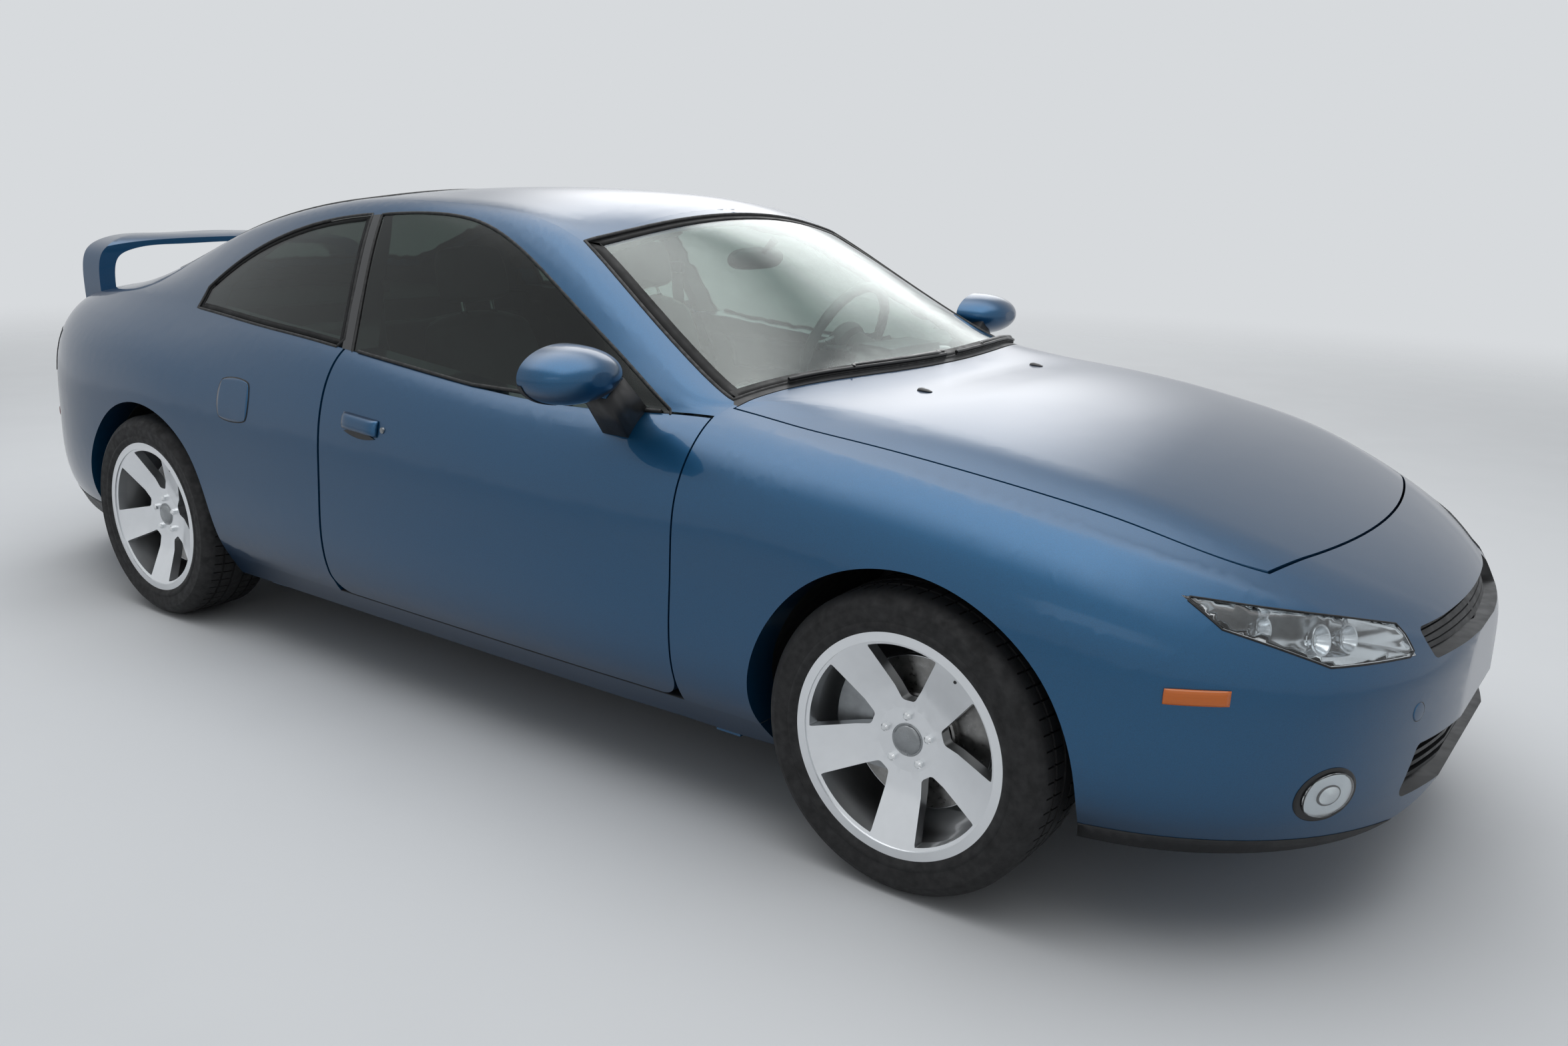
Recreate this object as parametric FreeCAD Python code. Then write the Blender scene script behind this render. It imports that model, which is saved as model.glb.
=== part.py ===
"""Two-door coupe car. Millimetres, X forward, Y to the car's left, Z up.

The origin is on the ground, midway along the car and on its centre plane.
The body is skinned from cross sections in one table. Each panel is a region of that skin, as thick
as the whole wall or door, cut along the real shut lines. A prism's outline is drawn in side view
(X, Z), in plan (X, Y) or from the front (Y, Z).
"""
import FreeCAD, Part
import math
import os

V = FreeCAD.Vector

# Driving dimensions
LENGTH = 4814.0
WIDTH = 1830.0
HEIGHT = 1380.0
WHEELBASE = 2788.0
FRONT_OVERHANG = 902.0
TRACK = 1560.0
TYRE_RADIUS = 326.0
TYRE_WIDTH = 240.0
RIM_RADIUS = 229.0
ARCH_GAP = 46.0
SHUT_GAP = 5.0

FRONT_AXLE_X = LENGTH / 2 - FRONT_OVERHANG
REAR_AXLE_X = FRONT_AXLE_X - WHEELBASE
WHEEL_Y = TRACK / 2
AXLE_Z = TYRE_RADIUS
ARCH_RADIUS = TYRE_RADIUS + ARCH_GAP

# The section table and the outlines below are drawn for a body of this size
DRAWN_LENGTH = 4814.0
DRAWN_WIDTH = 1830.0
DRAWN_HEIGHT = 1380.0
KX = LENGTH / DRAWN_LENGTH
KY = WIDTH / DRAWN_WIDTH
KZ = HEIGHT / DRAWN_HEIGHT

# Body sections, left half: station, then sill, waist, upper side, belt or shoulder and rail or
# bonnet points, the height at the centre, and the lean of the skin below and above the belt in
# degrees from upright
COLUMNS = ("x", "sy", "sz", "wy", "wz", "uy", "uz", "by", "bz", "ry", "rz", "cz", "lo", "up")
SECTIONS = [
    (2407, 150, 330, 175, 470, 160, 520, 120, 548, 70, 560, 566, 60, 75),
    (2375, 320, 268, 350, 480, 325, 545, 262, 582, 160, 600, 609, 62, 76),
    (2330, 440, 240, 480, 490, 448, 562, 372, 610, 240, 637, 650, 63, 77),
    (2265, 545, 225, 600, 500, 562, 585, 470, 645, 310, 676, 692, 64, 78),
    (2180, 632, 215, 698, 510, 660, 610, 560, 682, 380, 718, 736, 64, 78),
    (2080, 700, 208, 776, 520, 738, 640, 632, 720, 440, 762, 781, 64, 78),
    (1970, 748, 203, 836, 530, 800, 665, 694, 756, 490, 803, 825, 64, 78),
    (1850, 775, 200, 878, 540, 846, 690, 742, 788, 525, 840, 864, 63, 77),
    (1700, 795, 200, 906, 550, 878, 712, 772, 819, 545, 872, 897, 62, 76),
    (1505, 800, 200, 915, 560, 892, 732, 782, 850, 560, 904, 926, 62, 76),
    (1300, 797, 197, 911, 562, 890, 752, 776, 875, 570, 926, 944, 62, 74),
    (1130, 795, 193, 905, 562, 884, 764, 768, 889, 585, 938, 954, 62, 70),
    (1000, 795, 190, 902, 560, 879, 769, 762, 900, 652, 940, 1003, 62, 62),
    (880, 795, 190, 902, 560, 877, 770, 762, 904, 720, 936, 1072, 61, 52),
    (700, 800, 190, 904, 560, 880, 765, 788, 893, 690, 1018, 1174, 58, 38),
    (500, 802, 190, 905, 560, 882, 762, 798, 888, 648, 1133, 1280, 56, 30),
    (250, 803, 190, 905, 560, 884, 765, 802, 895, 594, 1276, 1353, 55, 27),
    (0, 803, 190, 905, 560, 885, 770, 802, 912, 576, 1326, 1376, 54, 26),
    (-300, 803, 190, 904, 565, 884, 780, 796, 938, 574, 1336, 1380, 54, 26),
    (-600, 803, 190, 903, 570, 882, 792, 784, 958, 572, 1322, 1366, 53, 27),
    (-900, 805, 192, 903, 585, 880, 810, 764, 974, 566, 1278, 1337, 50, 30),
    (-1200, 808, 195, 906, 598, 876, 832, 732, 990, 556, 1206, 1280, 44, 38),
    (-1500, 800, 205, 898, 602, 860, 850, 698, 1000, 545, 1106, 1190, 48, 46),
    (-1800, 775, 220, 866, 600, 822, 852, 662, 990, 522, 1026, 1084, 58, 64),
    (-1960, 745, 230, 817, 595, 778, 848, 630, 978, 492, 1002, 1034, 66, 78),
    (-2100, 700, 240, 749, 590, 716, 836, 588, 962, 450, 986, 1012, 68, 80),
    (-2210, 640, 248, 672, 585, 642, 816, 530, 942, 400, 968, 997, 68, 80),
    (-2300, 555, 258, 574, 575, 547, 785, 455, 905, 340, 938, 966, 68, 80),
    (-2355, 450, 275, 465, 565, 442, 735, 365, 845, 265, 875, 897, 68, 80),
    (-2390, 310, 305, 324, 550, 307, 670, 250, 745, 180, 768, 782, 68, 80),
    (-2407, 140, 360, 150, 530, 141, 600, 110, 640, 75, 652, 659, 68, 80),
]
SIDE_PARAMS = [0.0, 0.14, 0.45, 0.75, 1.0]
TOP_PARAMS = [0.0, 0.10, 0.23, 0.30, 0.36, 0.43, 0.5]

# Wall thickness at the same places as the two rows above: door and side, then belt to roof centre
SIDE_WALL = 88.0
ROOF_WALL = 32.0
FLOOR_WALL = 45.0
GLASS_DEPTH = 3.0
GLASS_THICKNESS = 6.0

# A piece that rests on another lies this far from it
SEAT = 0.6
# What stands inside a door's opening keeps this far from the door
DOOR_CLEAR = 5.5

FIREWALL_X = (905.0, 985.0)
BULKHEAD_X = (-1230.0, -1180.0)
CAVITY_X = (2190.0, -2180.0)

# Shut lines and windows in the drawn size
DOOR_FRONT_X = 915.0
DOOR_REAR_X = -352.0
DOOR_REAR_GAP = 9.0
DOOR_BOTTOM_Z = 268.0
BELT = [(960, 904), (842, 903), (500, 888), (180, 899), (-30, 916), (-352, 943), (-520, 956),
        (-750, 968), (-1030, 984), (-1200, 991)]
PILLAR_BASE_X = -313.0
PILLAR_TOP_X = -413.0
PILLAR_WIDTH = 40.0


def spline(points, params, first=None, last=None):
    curve = Part.BSplineCurve()
    if first is None:
        curve.interpolate(Points=points, Parameters=params)
    else:
        curve.interpolate(Points=points, Parameters=params, InitialTangent=first,
                          FinalTangent=last, Scale=False)
    return curve


def skin(curves, params):
    """A surface through curves that share their knots, each pole row running along the body."""
    rows = [spline([c.getPole(j) for c in curves], params)
            for j in range(1, curves[0].NbPoles + 1)]
    poles = [[row.getPole(i) for row in rows] for i in range(1, rows[0].NbPoles + 1)]
    surface = Part.BSplineSurface()
    surface.buildFromPolesMultsKnots(
        poles, rows[0].getMultiplicities(), curves[0].getMultiplicities(),
        rows[0].getKnots(), curves[0].getKnots(), False, False, 3, curves[0].Degree)
    return surface


def lean(degrees, side):
    a = math.radians(degrees)
    return V(0, -side * math.sin(a), math.cos(a))


def scaled_sections():
    scale = {"x": KX, "y": KY, "z": KZ}
    rows = [dict(zip(COLUMNS, row)) for row in SECTIONS]
    return [{k: v * scale.get(k[-1], 1.0) for k, v in row.items()} for row in rows]


def side_points(s, side):
    rocker_y = s["sy"] + 0.72 * (s["wy"] - s["sy"])
    rocker_z = s["sz"] + 0.28 * (s["wz"] - s["sz"])
    pairs = [(s["sy"], s["sz"]), (rocker_y, rocker_z), (s["wy"], s["wz"]), (s["uy"], s["uz"]),
             (s["by"], s["bz"])]
    return [V(s["x"], side * y, z) for y, z in pairs]


def side_curve(s, side):
    pts = side_points(s, side)
    u = SIDE_PARAMS
    start = (pts[1] - pts[0]) * (1.0 / (u[1] - u[0]))
    end = lean(s["lo"], side) * ((pts[4] - pts[3]).Length / (u[4] - u[3]))
    return spline(pts, u, start, end)


def full_params():
    return TOP_PARAMS + [1 - k for k in reversed(TOP_PARAMS[:-1])]


def mirrored(half):
    return half + [V(p.x, -p.y, p.z) for p in reversed(half[:-1])]


def top_points(s):
    b = V(s["x"], s["by"], s["bz"])
    r = V(s["x"], s["ry"], s["rz"])
    out = V(0, (r - b).z, -(r - b).y)
    out.normalize()
    bulge = 0.02 * (r - b).Length
    rise = s["cz"] - s["rz"]
    return [
        b,
        b + (r - b) * 0.42 + out * bulge,
        b + (r - b) * 0.88 + out * bulge * 0.8,
        V(s["x"], s["ry"] * 0.955, s["rz"] + rise * 0.13),
        V(s["x"], s["ry"] * 0.78, s["rz"] + rise * 0.44),
        V(s["x"], s["ry"] * 0.42, s["rz"] + rise * 0.84),
        V(s["x"], 0, s["cz"]),
    ]


def top_curve(s):
    half = top_points(s)
    speed = (half[1] - half[0]).Length / (TOP_PARAMS[1] - TOP_PARAMS[0])
    up = lean(s["up"], 1)
    return spline(mirrored(half), full_params(), up * speed, V(0, up.y, -up.z) * speed)


def inward(curve, u, side):
    """Unit normal into the body at one place of a section curve."""
    t = curve.tangent(u)[0]
    n = V(0, -t.z, t.y) * side
    n.normalize()
    return n


def inset_curves(s, side_wall, top_wall, floor_wall):
    """The same section, moved in by a wall that thins from the belt to the roof's centre."""
    outer_side = side_curve(s, 1)
    outer_top = top_curve(s)
    belt_normal = inward(outer_side, 1.0, 1) + inward(outer_top, 0.0, 1)
    belt_normal.normalize()
    pts = [outer_side.value(u) + inward(outer_side, u, 1) * side_wall for u in SIDE_PARAMS]
    pts[0] = V(s["x"], s["sy"] - 0.8 * side_wall, s["sz"] + floor_wall)
    pts[-1] = outer_side.value(1.0) + belt_normal * side_wall
    span = TOP_PARAMS[3]
    walls = [side_wall + (top_wall - side_wall) * min(1.0, u / span) for u in TOP_PARAMS]
    half = [outer_top.value(u) + inward(outer_top, u, 1) * w for u, w in zip(TOP_PARAMS, walls)]
    half[0] = pts[-1]
    half[-1] = V(s["x"], 0, s["cz"] - top_wall)
    left = spline(pts, SIDE_PARAMS)
    right = spline([V(p.x, -p.y, p.z) for p in pts], SIDE_PARAMS)
    return left, spline(mirrored(half), full_params()), right


def close_solid(faces):
    shell = Part.makeShell(faces)
    shell.sewShape()
    solid = Part.makeSolid(shell if shell.ShapeType == "Shell" else shell.Shells[0])
    if solid.Volume < 0:
        solid.reverse()
    return solid


def along(stations):
    """Spline parameters that follow the skin's own length from station to station."""
    total = [0.0]
    for a, b in zip(stations, stations[1:]):
        steps = [math.hypot(b["x"] - a["x"], math.hypot(b[y] - a[y], b[z] - a[z]))
                 for y, z in (("wy", "wz"), ("by", "bz"))]
        steps.append(math.hypot(b["x"] - a["x"], b["cz"] - a["cz"]))
        total.append(total[-1] + sum(steps) / len(steps))
    return [t / total[-1] for t in total]


def loft(left, top, right, params):
    surfaces = [skin(curves, params) for curves in (left, top, right)]
    faces = [Part.Face(s) for s in surfaces]
    faces.append(Part.makeRuledSurface(surfaces[0].vIso(0.0).toShape(),
                                       surfaces[2].vIso(0.0).toShape()))
    for i in (0, -1):
        floor = Part.makeLine(left[i].StartPoint, right[i].StartPoint)
        edges = [left[i].toShape(), top[i].toShape(), right[i].toShape(), floor]
        faces.append(Part.Face(Part.Wire(Part.__sortEdges__(edges))))
    return close_solid(faces)


def outer_hull():
    stations = scaled_sections()
    left = [side_curve(s, 1) for s in stations]
    top = [top_curve(s) for s in stations]
    right = [side_curve(s, -1) for s in stations]
    return loft(left, top, right, along(stations))


def inset_hull(side_wall, top_wall, floor_wall, first_x, last_x):
    stations = [s for s in scaled_sections() if last_x * KX <= s["x"] <= first_x * KX]
    curves = [inset_curves(s, side_wall, top_wall, floor_wall) for s in stations]
    left, top, right = [list(c) for c in zip(*curves)]
    return loft(left, top, right, along(stations))



def place(plane, at, a, b):
    """A drawn outline point, at the car's own size."""
    if plane == "XZ":
        return V(a * KX, at, b * KZ)
    if plane == "XY":
        return V(a * KX, b * KY, at)
    return V(at, a * KY, b * KZ)


def run_edge(points):
    if len(points) == 2:
        return Part.makeLine(points[0], points[1])
    if len(points) == 3:
        return Part.Arc(points[0], points[1], points[2]).toShape()
    curve = Part.BSplineCurve()
    curve.interpolate(points)
    return curve.toShape()


def outline(plane, at, runs):
    """Closed wire from runs of points: 2 make a line, 3 an arc and more a smooth curve."""
    edges = []
    for i, run in enumerate(runs):
        edges.append(run_edge([place(plane, at, a, b) for a, b in run]))
        a, b = run[-1], runs[(i + 1) % len(runs)][0]
        if math.hypot(a[0] - b[0], a[1] - b[1]) > 0.01:
            edges.append(Part.makeLine(place(plane, at, *a), place(plane, at, *b)))
    return Part.Wire(Part.__sortEdges__(edges))


DIRECTIONS = {"XZ": V(0, 1, 0), "XY": V(0, 0, 1), "YZ": V(1, 0, 0)}


def prism(plane, lo, hi, *runs, corner=0.0):
    solid = Part.Face(outline(plane, lo, runs)).extrude(DIRECTIONS[plane] * (hi - lo))
    if corner:
        axis = DIRECTIONS[plane]
        sharp = [e for e in solid.Edges
                 if len(e.Vertexes) == 2 and abs(e.tangentAt(e.FirstParameter).dot(axis)) > 0.999]
        solid = solid.makeFillet(corner, sharp)
    return solid


def polygon(plane, lo, hi, points, corner=0.0):
    runs = [(a, b) for a, b in zip(points, points[1:] + points[:1])]
    return prism(plane, lo, hi, *runs, corner=corner)


def box(x0, x1, y0, y1, z0, z1):
    """A box from drawn corners, at the car's own size."""
    return Part.makeBox((x1 - x0) * KX, (y1 - y0) * KY, (z1 - z0) * KZ, V(x0 * KX, y0 * KY, z0 * KZ))


def shifted(points, d):
    """The same run of points, moved sideways by d: to the left of its own direction."""
    out = []
    for i, p in enumerate(points):
        a = points[max(i - 1, 0)]
        b = points[min(i + 1, len(points) - 1)]
        length = math.hypot(b[0] - a[0], b[1] - a[1])
        out.append((p[0] - d * (b[1] - a[1]) / length, p[1] + d * (b[0] - a[0]) / length))
    return out


def mirror_y(shape):
    return shape.mirror(V(0, 0, 0), V(0, 1, 0))


def both_sides(shape):
    """A left-side shape with its mirror image."""
    return [shape, mirror_y(shape)]


def cut(shape, *tools):
    for tool in tools:
        for part in (tool if isinstance(tool, (list, tuple)) else [tool]):
            shape = shape.cut(part)
    return shape


def solids_only(shape):
    """The body of a cut piece, without crumbs."""
    largest = max(s.Volume for s in shape.Solids)
    solids = [s for s in shape.Solids if s.Volume > 0.05 * largest]
    return solids[0] if len(solids) == 1 else Part.makeCompound(solids)


WIDE = 1100.0
HIGH = 1600.0


# Window line of the whole side, from the front tip over the roof rail to the rear tip
WINDOW_TOP = [(812, 904), (600, 1013), (400, 1121), (150, 1246), (0, 1292), (-219, 1309),
              (-413, 1299), (-638, 1273), (-840, 1226), (-1040, 1144), (-1170, 1050)]


def above_belt(rise=0.0):
    belt = [(x, z + rise) for x, z in BELT]
    return prism("XZ", 300, WIDE, belt, [(belt[-1][0], HIGH), (belt[0][0], HIGH)])


def door_region(grow):
    """Side view of the door below the window line; grow widens it to the opening in the body."""
    front = DOOR_FRONT_X + grow
    rear = DOOR_REAR_X - grow * DOOR_REAR_GAP / SHUT_GAP + (DOOR_REAR_GAP - SHUT_GAP) * 0.5
    top = 1000.0
    bottom = DOOR_BOTTOM_Z - grow
    radius = 60 + grow
    k = radius * (1 - math.sqrt(0.5))
    slab = prism(
        "XZ", 350, WIDE,
        [(rear, top), (rear, bottom + radius)],
        [(rear, bottom + radius), (rear + k, bottom + k), (rear + radius, bottom)],
        [(rear + radius, bottom), (front - radius, bottom)],
        [(front - radius, bottom), (front - k, bottom + k), (front, bottom + radius)],
        [(front, bottom + radius), (front, top)])
    return slab.cut(above_belt(grow))


def window_region(grow, rise=0.0):
    """Side windows from the belt up to the rail; grow raises the top edge only."""
    top = shifted(WINDOW_TOP, -grow)
    below_top = prism("XZ", 350, WIDE, top, [(top[-1][0], 800), (top[0][0], 800)])
    return below_top.common(above_belt(rise))


def pillar_line(offset):
    """The slanted front edge of the black pillar, as two points, moved forward by offset."""
    return [(PILLAR_BASE_X + offset, 900), (PILLAR_TOP_X + offset - 30, 1400)]


def ahead_of_pillar(offset):
    base, top = pillar_line(offset)
    return polygon("XZ", 350, WIDE, [base, (1000, 900), (1000, 1400), top])


def windscreen_region(grow):
    low = [(925 + grow, -690 - grow), (1055 + grow, 0), (925 + grow, 690 + grow)]
    high = [(335 - grow, 553 + grow), (388 - grow, 0), (335 - grow, -553 - grow)]
    return prism("XY", 700, HIGH, low, high)


def backlight_region(grow):
    high = [(-690 + grow, -505 - grow), (-650 + grow, 0), (-690 + grow, 505 + grow)]
    low = [(-1640 - grow, 505 + grow), (-1800 - grow, 0), (-1640 - grow, -505 - grow)]
    return prism("XY", 800, HIGH, high, low)


def roof_region(grow):
    side = [(345, 562), (100, 556), (-300, 552), (-600, 540), (-675, 530)]
    left = [(x, y + grow) for x, y in side]
    right = [(x, -y) for x, y in left[::-1]]
    return prism("XY", 1000, HIGH, left, right)


HOOD_REAR = [(948, -712), (1080, 0), (948, 712)]
HOOD_SIDE = [(948, 712), (1300, 715), (1600, 700), (1850, 660), (2000, 612), (2095, 550)]
HOOD_FRONT = [(2095, 550), (2176, 0), (2095, -550)]


def hood_region(grow):
    rear = [(x - grow, y * (1 + grow / 712)) for x, y in HOOD_REAR]
    side = [(x, y + grow) for x, y in HOOD_SIDE]
    side[0] = rear[-1]
    front = [(x + grow, y * (1 + grow / 550)) for x, y in HOOD_FRONT]
    side[-1] = front[0]
    right = [(x, -y) for x, y in side[::-1]]
    return prism("XY", 640, HIGH, rear, side, front, right)


LID_FRONT_X = -1890.0
LID_LOW_Z = 692.0
LID_HALF = 600.0
# Above the tail lamps the lid has its full width, and between them only this half width
LID_STEP_Z = 876.0
LID_LOW_HALF = 420.0


def lid_region(grow):
    """Plan of the boot lid, narrower below where it passes between the lamps."""
    half = LID_HALF + grow
    front = [(LID_FRONT_X - 45 + grow, -half), (LID_FRONT_X + grow, 0),
             (LID_FRONT_X - 45 + grow, half)]
    plan = prism("XY", LID_LOW_Z * KZ - grow, HIGH, front, [front[-1], (-2500, half)],
                 [(-2500, half), (-2500, -half)], [(-2500, -half), front[0]])
    low, step = LID_LOW_HALF + grow, LID_STEP_Z - grow
    beside = polygon("YZ", -2600 * KX, -1800 * KX,
                     [(low, 500), (900, 500), (900, step), (low + 20, step)])
    return cut(plan, both_sides(beside))


def front_lamp_region(grow):
    points = [(392, 578), (396, 634), (520, 664), (640, 690), (735, 712), (724, 660), (600, 590)]
    middle = (560, 640)
    grown = [(a + grow * math.copysign(1, a - middle[0]), b + grow * math.copysign(1, b - middle[1]))
             for a, b in points]
    return polygon("YZ", 1800 * KX, 2450 * KX, grown)


def rear_lamp_region(grow):
    low, high = 705 - grow, 856 + grow
    return polygon("YZ", -2450 * KX, -2020 * KX,
                   [(455 - grow, low), (800, low + 10), (800, high - 8), (455 - grow, high)])


def front_bumper_region():
    return polygon("XZ", -WIDE, WIDE, [
        (1510, 100), (2460, 100), (2460, 900), (2105, 900), (2085, 700), (2000, 604), (1816, 530),
        (1510, 530)])


def rear_bumper_region():
    return polygon("XZ", -WIDE, WIDE, [
        (-1290, 100), (-1290, 535), (-1590, 535), (-2010, 640), (-2160, 680), (-2480, 680),
        (-2480, 100)])


def wheel_well(x, inner_y, radius):
    """A drum at one axle, from the inner wall outwards, with its mirror image."""
    drum = Part.makeCylinder(radius, WIDE - inner_y, V(x, inner_y, AXLE_Z), V(0, 1, 0))
    return both_sides(drum)


WELL_FRONT_Y = 452.0
WELL_REAR_Y = 622.0
LINER = 8.0


AXLE_HOLE = 115.0
TRAY_HALF = 162.0
TRAY_Z = 462.0


class Shell:
    """The skin, its wall and the layers under it, worked out once."""

    def __init__(self):
        self.outer = outer_hull()
        self.inner = inset_hull(SIDE_WALL, ROOF_WALL, FLOOR_WALL, *CAVITY_X)
        self.lining = inset_hull(SIDE_WALL + SEAT, ROOF_WALL + SEAT, FLOOR_WALL + SEAT, *CAVITY_X)
        self.deeper = inset_hull(SIDE_WALL + 25, ROOF_WALL + 25, FLOOR_WALL + 25, *CAVITY_X)
        near_door = self.lining.cut(inset_hull(SIDE_WALL + DOOR_CLEAR, ROOF_WALL + DOOR_CLEAR,
                                               FLOOR_WALL + DOOR_CLEAR, *CAVITY_X))
        self.beside_door = near_door.common(
            box(DOOR_REAR_X - SHUT_GAP, DOOR_FRONT_X + 2, -WIDE, WIDE, 0, 1000))
        first, last = 2300, -2300
        above = inset_hull(GLASS_DEPTH, GLASS_DEPTH, GLASS_DEPTH, first, last)
        below = inset_hull(GLASS_DEPTH + GLASS_THICKNESS, GLASS_DEPTH + GLASS_THICKNESS,
                           GLASS_DEPTH + GLASS_THICKNESS, first, last)
        self.glass = above.cut(below)
        self.wells = wheel_well(FRONT_AXLE_X, WELL_FRONT_Y, ARCH_RADIUS) + \
            wheel_well(REAR_AXLE_X, WELL_REAR_Y, ARCH_RADIUS)
        self.wall = cut(self.outer.cut(self.inner), self.wells)
        self.under = self.lining.cut(self.deeper)



HOOD_HINGE = (935.0, 960.0)
# The bonnet swings forward past the nose while it rises through these angles
HOOD_PASSING = (0.5, 1.1, 1.8, 2.6, 3.5, 4.5)


def undercut(hood, fixed):
    """The bonnet with its front edge cut back below, where it would meet the nose as it rises."""
    nose = fixed.common(box(1700, 2450, -WIDE, WIDE, 500, 900))
    for angle in HOOD_PASSING:
        lowered = nose.copy()
        lowered.translate(V(-SHUT_GAP + 0.5, 0, 0))
        lowered.rotate(V(HOOD_HINGE[0] * KX, 0, HOOD_HINGE[1] * KZ), V(0, 1, 0), angle)
        hood = hood.cut(lowered)
    return solids_only(hood)


def build_panels(s):
    """Every panel of the shell, the moving ones first so that the fixed ones leave them room."""
    parts = {}
    wall = s.wall
    door = solids_only(wall.common(door_region(0)))
    parts["door_left"] = door
    parts["door_right"] = mirror_y(door)
    parts["hood"] = solids_only(wall.common(hood_region(0)))
    parts["deck_lid"] = solids_only(wall.common(lid_region(0)))

    openings = both_sides(door_region(SHUT_GAP)) + both_sides(window_region(0)) + [
        hood_region(SHUT_GAP), lid_region(SHUT_GAP), windscreen_region(0), backlight_region(0)]
    fixed = cut(wall, openings)
    parts["hood"] = undercut(parts["hood"], fixed)

    parts["roof_panel"] = solids_only(fixed.common(roof_region(0)))
    lamps_front = both_sides(front_lamp_region(0))
    lamps_rear = both_sides(rear_lamp_region(0))
    parts["headlamps"] = solids_only(fixed.common(lamps_front[0].fuse(lamps_front[1])))
    parts["tail_lamps"] = solids_only(fixed.common(lamps_rear[0].fuse(lamps_rear[1])))
    body = cut(fixed, lamps_front, lamps_rear, roof_region(0))

    front = front_bumper_region()
    rear = rear_bumper_region()
    parts["front_bumper"] = front_bumper(solids_only(body.common(front)))
    parts["rear_bumper"] = solids_only(body.common(rear))
    body = cut(body, front, rear)

    belt_z = BELT[0][1]
    cowl = prism("XY", 700, HIGH, [(925, -690), (1055, 0), (925, 690)], [(945, 715), (1080, 0), (945, -715)])
    cowl = cowl.common(box(900, 1100, -705, 705, 800, 1300))
    parts["cowl_panel"] = solids_only(body.common(cowl))
    body = cut(body, cowl)

    left = body.common(box(-2600, 2600, 0, WIDE, 0, HIGH))
    sill = box(-930, 1150, 640, WIDE, 0, DOOR_BOTTOM_Z - SHUT_GAP)
    parts["sills"] = two_sided(jack_pads(solids_only(left.common(sill))))
    floor = box(-1700, FIREWALL_X[0], -640, 640, 0, 300)
    tray, tray_block = axle_tray(s)
    body = cut(body, tray_block)
    left = cut(left, tray_block)
    parts["rear_bumper"] = solids_only(parts["rear_bumper"].cut(tray_block))
    parts["floor_pan"] = solids_only(body.common(floor).fuse(tray))
    left = cut(left, sill, floor, box(FIREWALL_X[0], 1900, 0, 640, 0, 300))

    fender = polygon("XZ", 0, WIDE, [(DOOR_FRONT_X + SHUT_GAP, 200), (2200, 200), (2200, 1000),
                                     (960, 1000), (925, belt_z - 1), (DOOR_FRONT_X + SHUT_GAP, belt_z - 1)])
    parts["fender_left"] = solids_only(left.common(fender))
    parts["fender_right"] = mirror_y(parts["fender_left"])
    left = cut(left, fender)
    pillar = box(DOOR_REAR_X, 1000, 0, WIDE, 880, HIGH).fuse(box(-640, 1000, 0, WIDE, 1180, HIGH))
    parts["roof_rails"] = two_sided(solids_only(left.common(pillar)))
    left = cut(left, pillar)
    quarter = box(-2600, DOOR_REAR_X, 0, WIDE, 0, HIGH)
    parts["quarter_left"] = solids_only(left.common(quarter))
    parts["quarter_right"] = mirror_y(parts["quarter_left"])
    return parts


def two_sided(shape):
    """A left piece and its mirror image on the same body, as one node."""
    return Part.makeCompound(shape.Solids + mirror_y(shape).Solids)


GRILLE_UPPER = [(-330, 560), (330, 560), (352, 618), (-352, 618)]
GRILLE_LOWER = [(-420, 292), (420, 292), (380, 400), (-380, 400)]
GRILLE_BACK_X = 2180.0
GRILLE_SET_BACK = 26.0
GRILLE_BAR = 9.0
GRILLE_BARS = 4


def grille_openings():
    return [polygon("YZ", GRILLE_BACK_X * KX, 2450 * KX, pts, corner=18)
            for pts in (GRILLE_UPPER, GRILLE_LOWER)]


def front_bumper(blank):
    return cut(blank, grille_openings(), tow_hole(), box(1500, 1877, -640, 640, 0, 300))


def grille(s):
    """Slats between two side bars in each intake, following the nose and set back from it."""
    depth = GRILLE_SET_BACK
    face = s.outer.copy()
    face.translate(V(-depth, 0, 0))
    back = s.outer.copy()
    back.translate(V(-depth - 30, 0, 0))
    curved = face.cut(back)
    solids = []
    for pts in (GRILLE_UPPER, GRILLE_LOWER):
        opening = polygon("YZ", GRILLE_BACK_X * KX, 2450 * KX, pts, corner=18)
        z0, z1 = pts[0][1], pts[2][1]
        pitch = (z1 - z0) / (GRILLE_BARS + 1)
        half = 420
        frame = [box(2100, 2450, -half, half, z0 + pitch * (i + 1) - GRILLE_BAR / 2,
                     z0 + pitch * (i + 1) + GRILLE_BAR / 2) for i in range(GRILLE_BARS)]
        frame.append(box(2100, 2450, -GRILLE_BAR, GRILLE_BAR, z0, z1))
        lattice = frame[0].multiFuse(frame[1:])
        solids += curved.common(opening).common(lattice).Solids
    return Part.makeCompound(solids)


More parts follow.
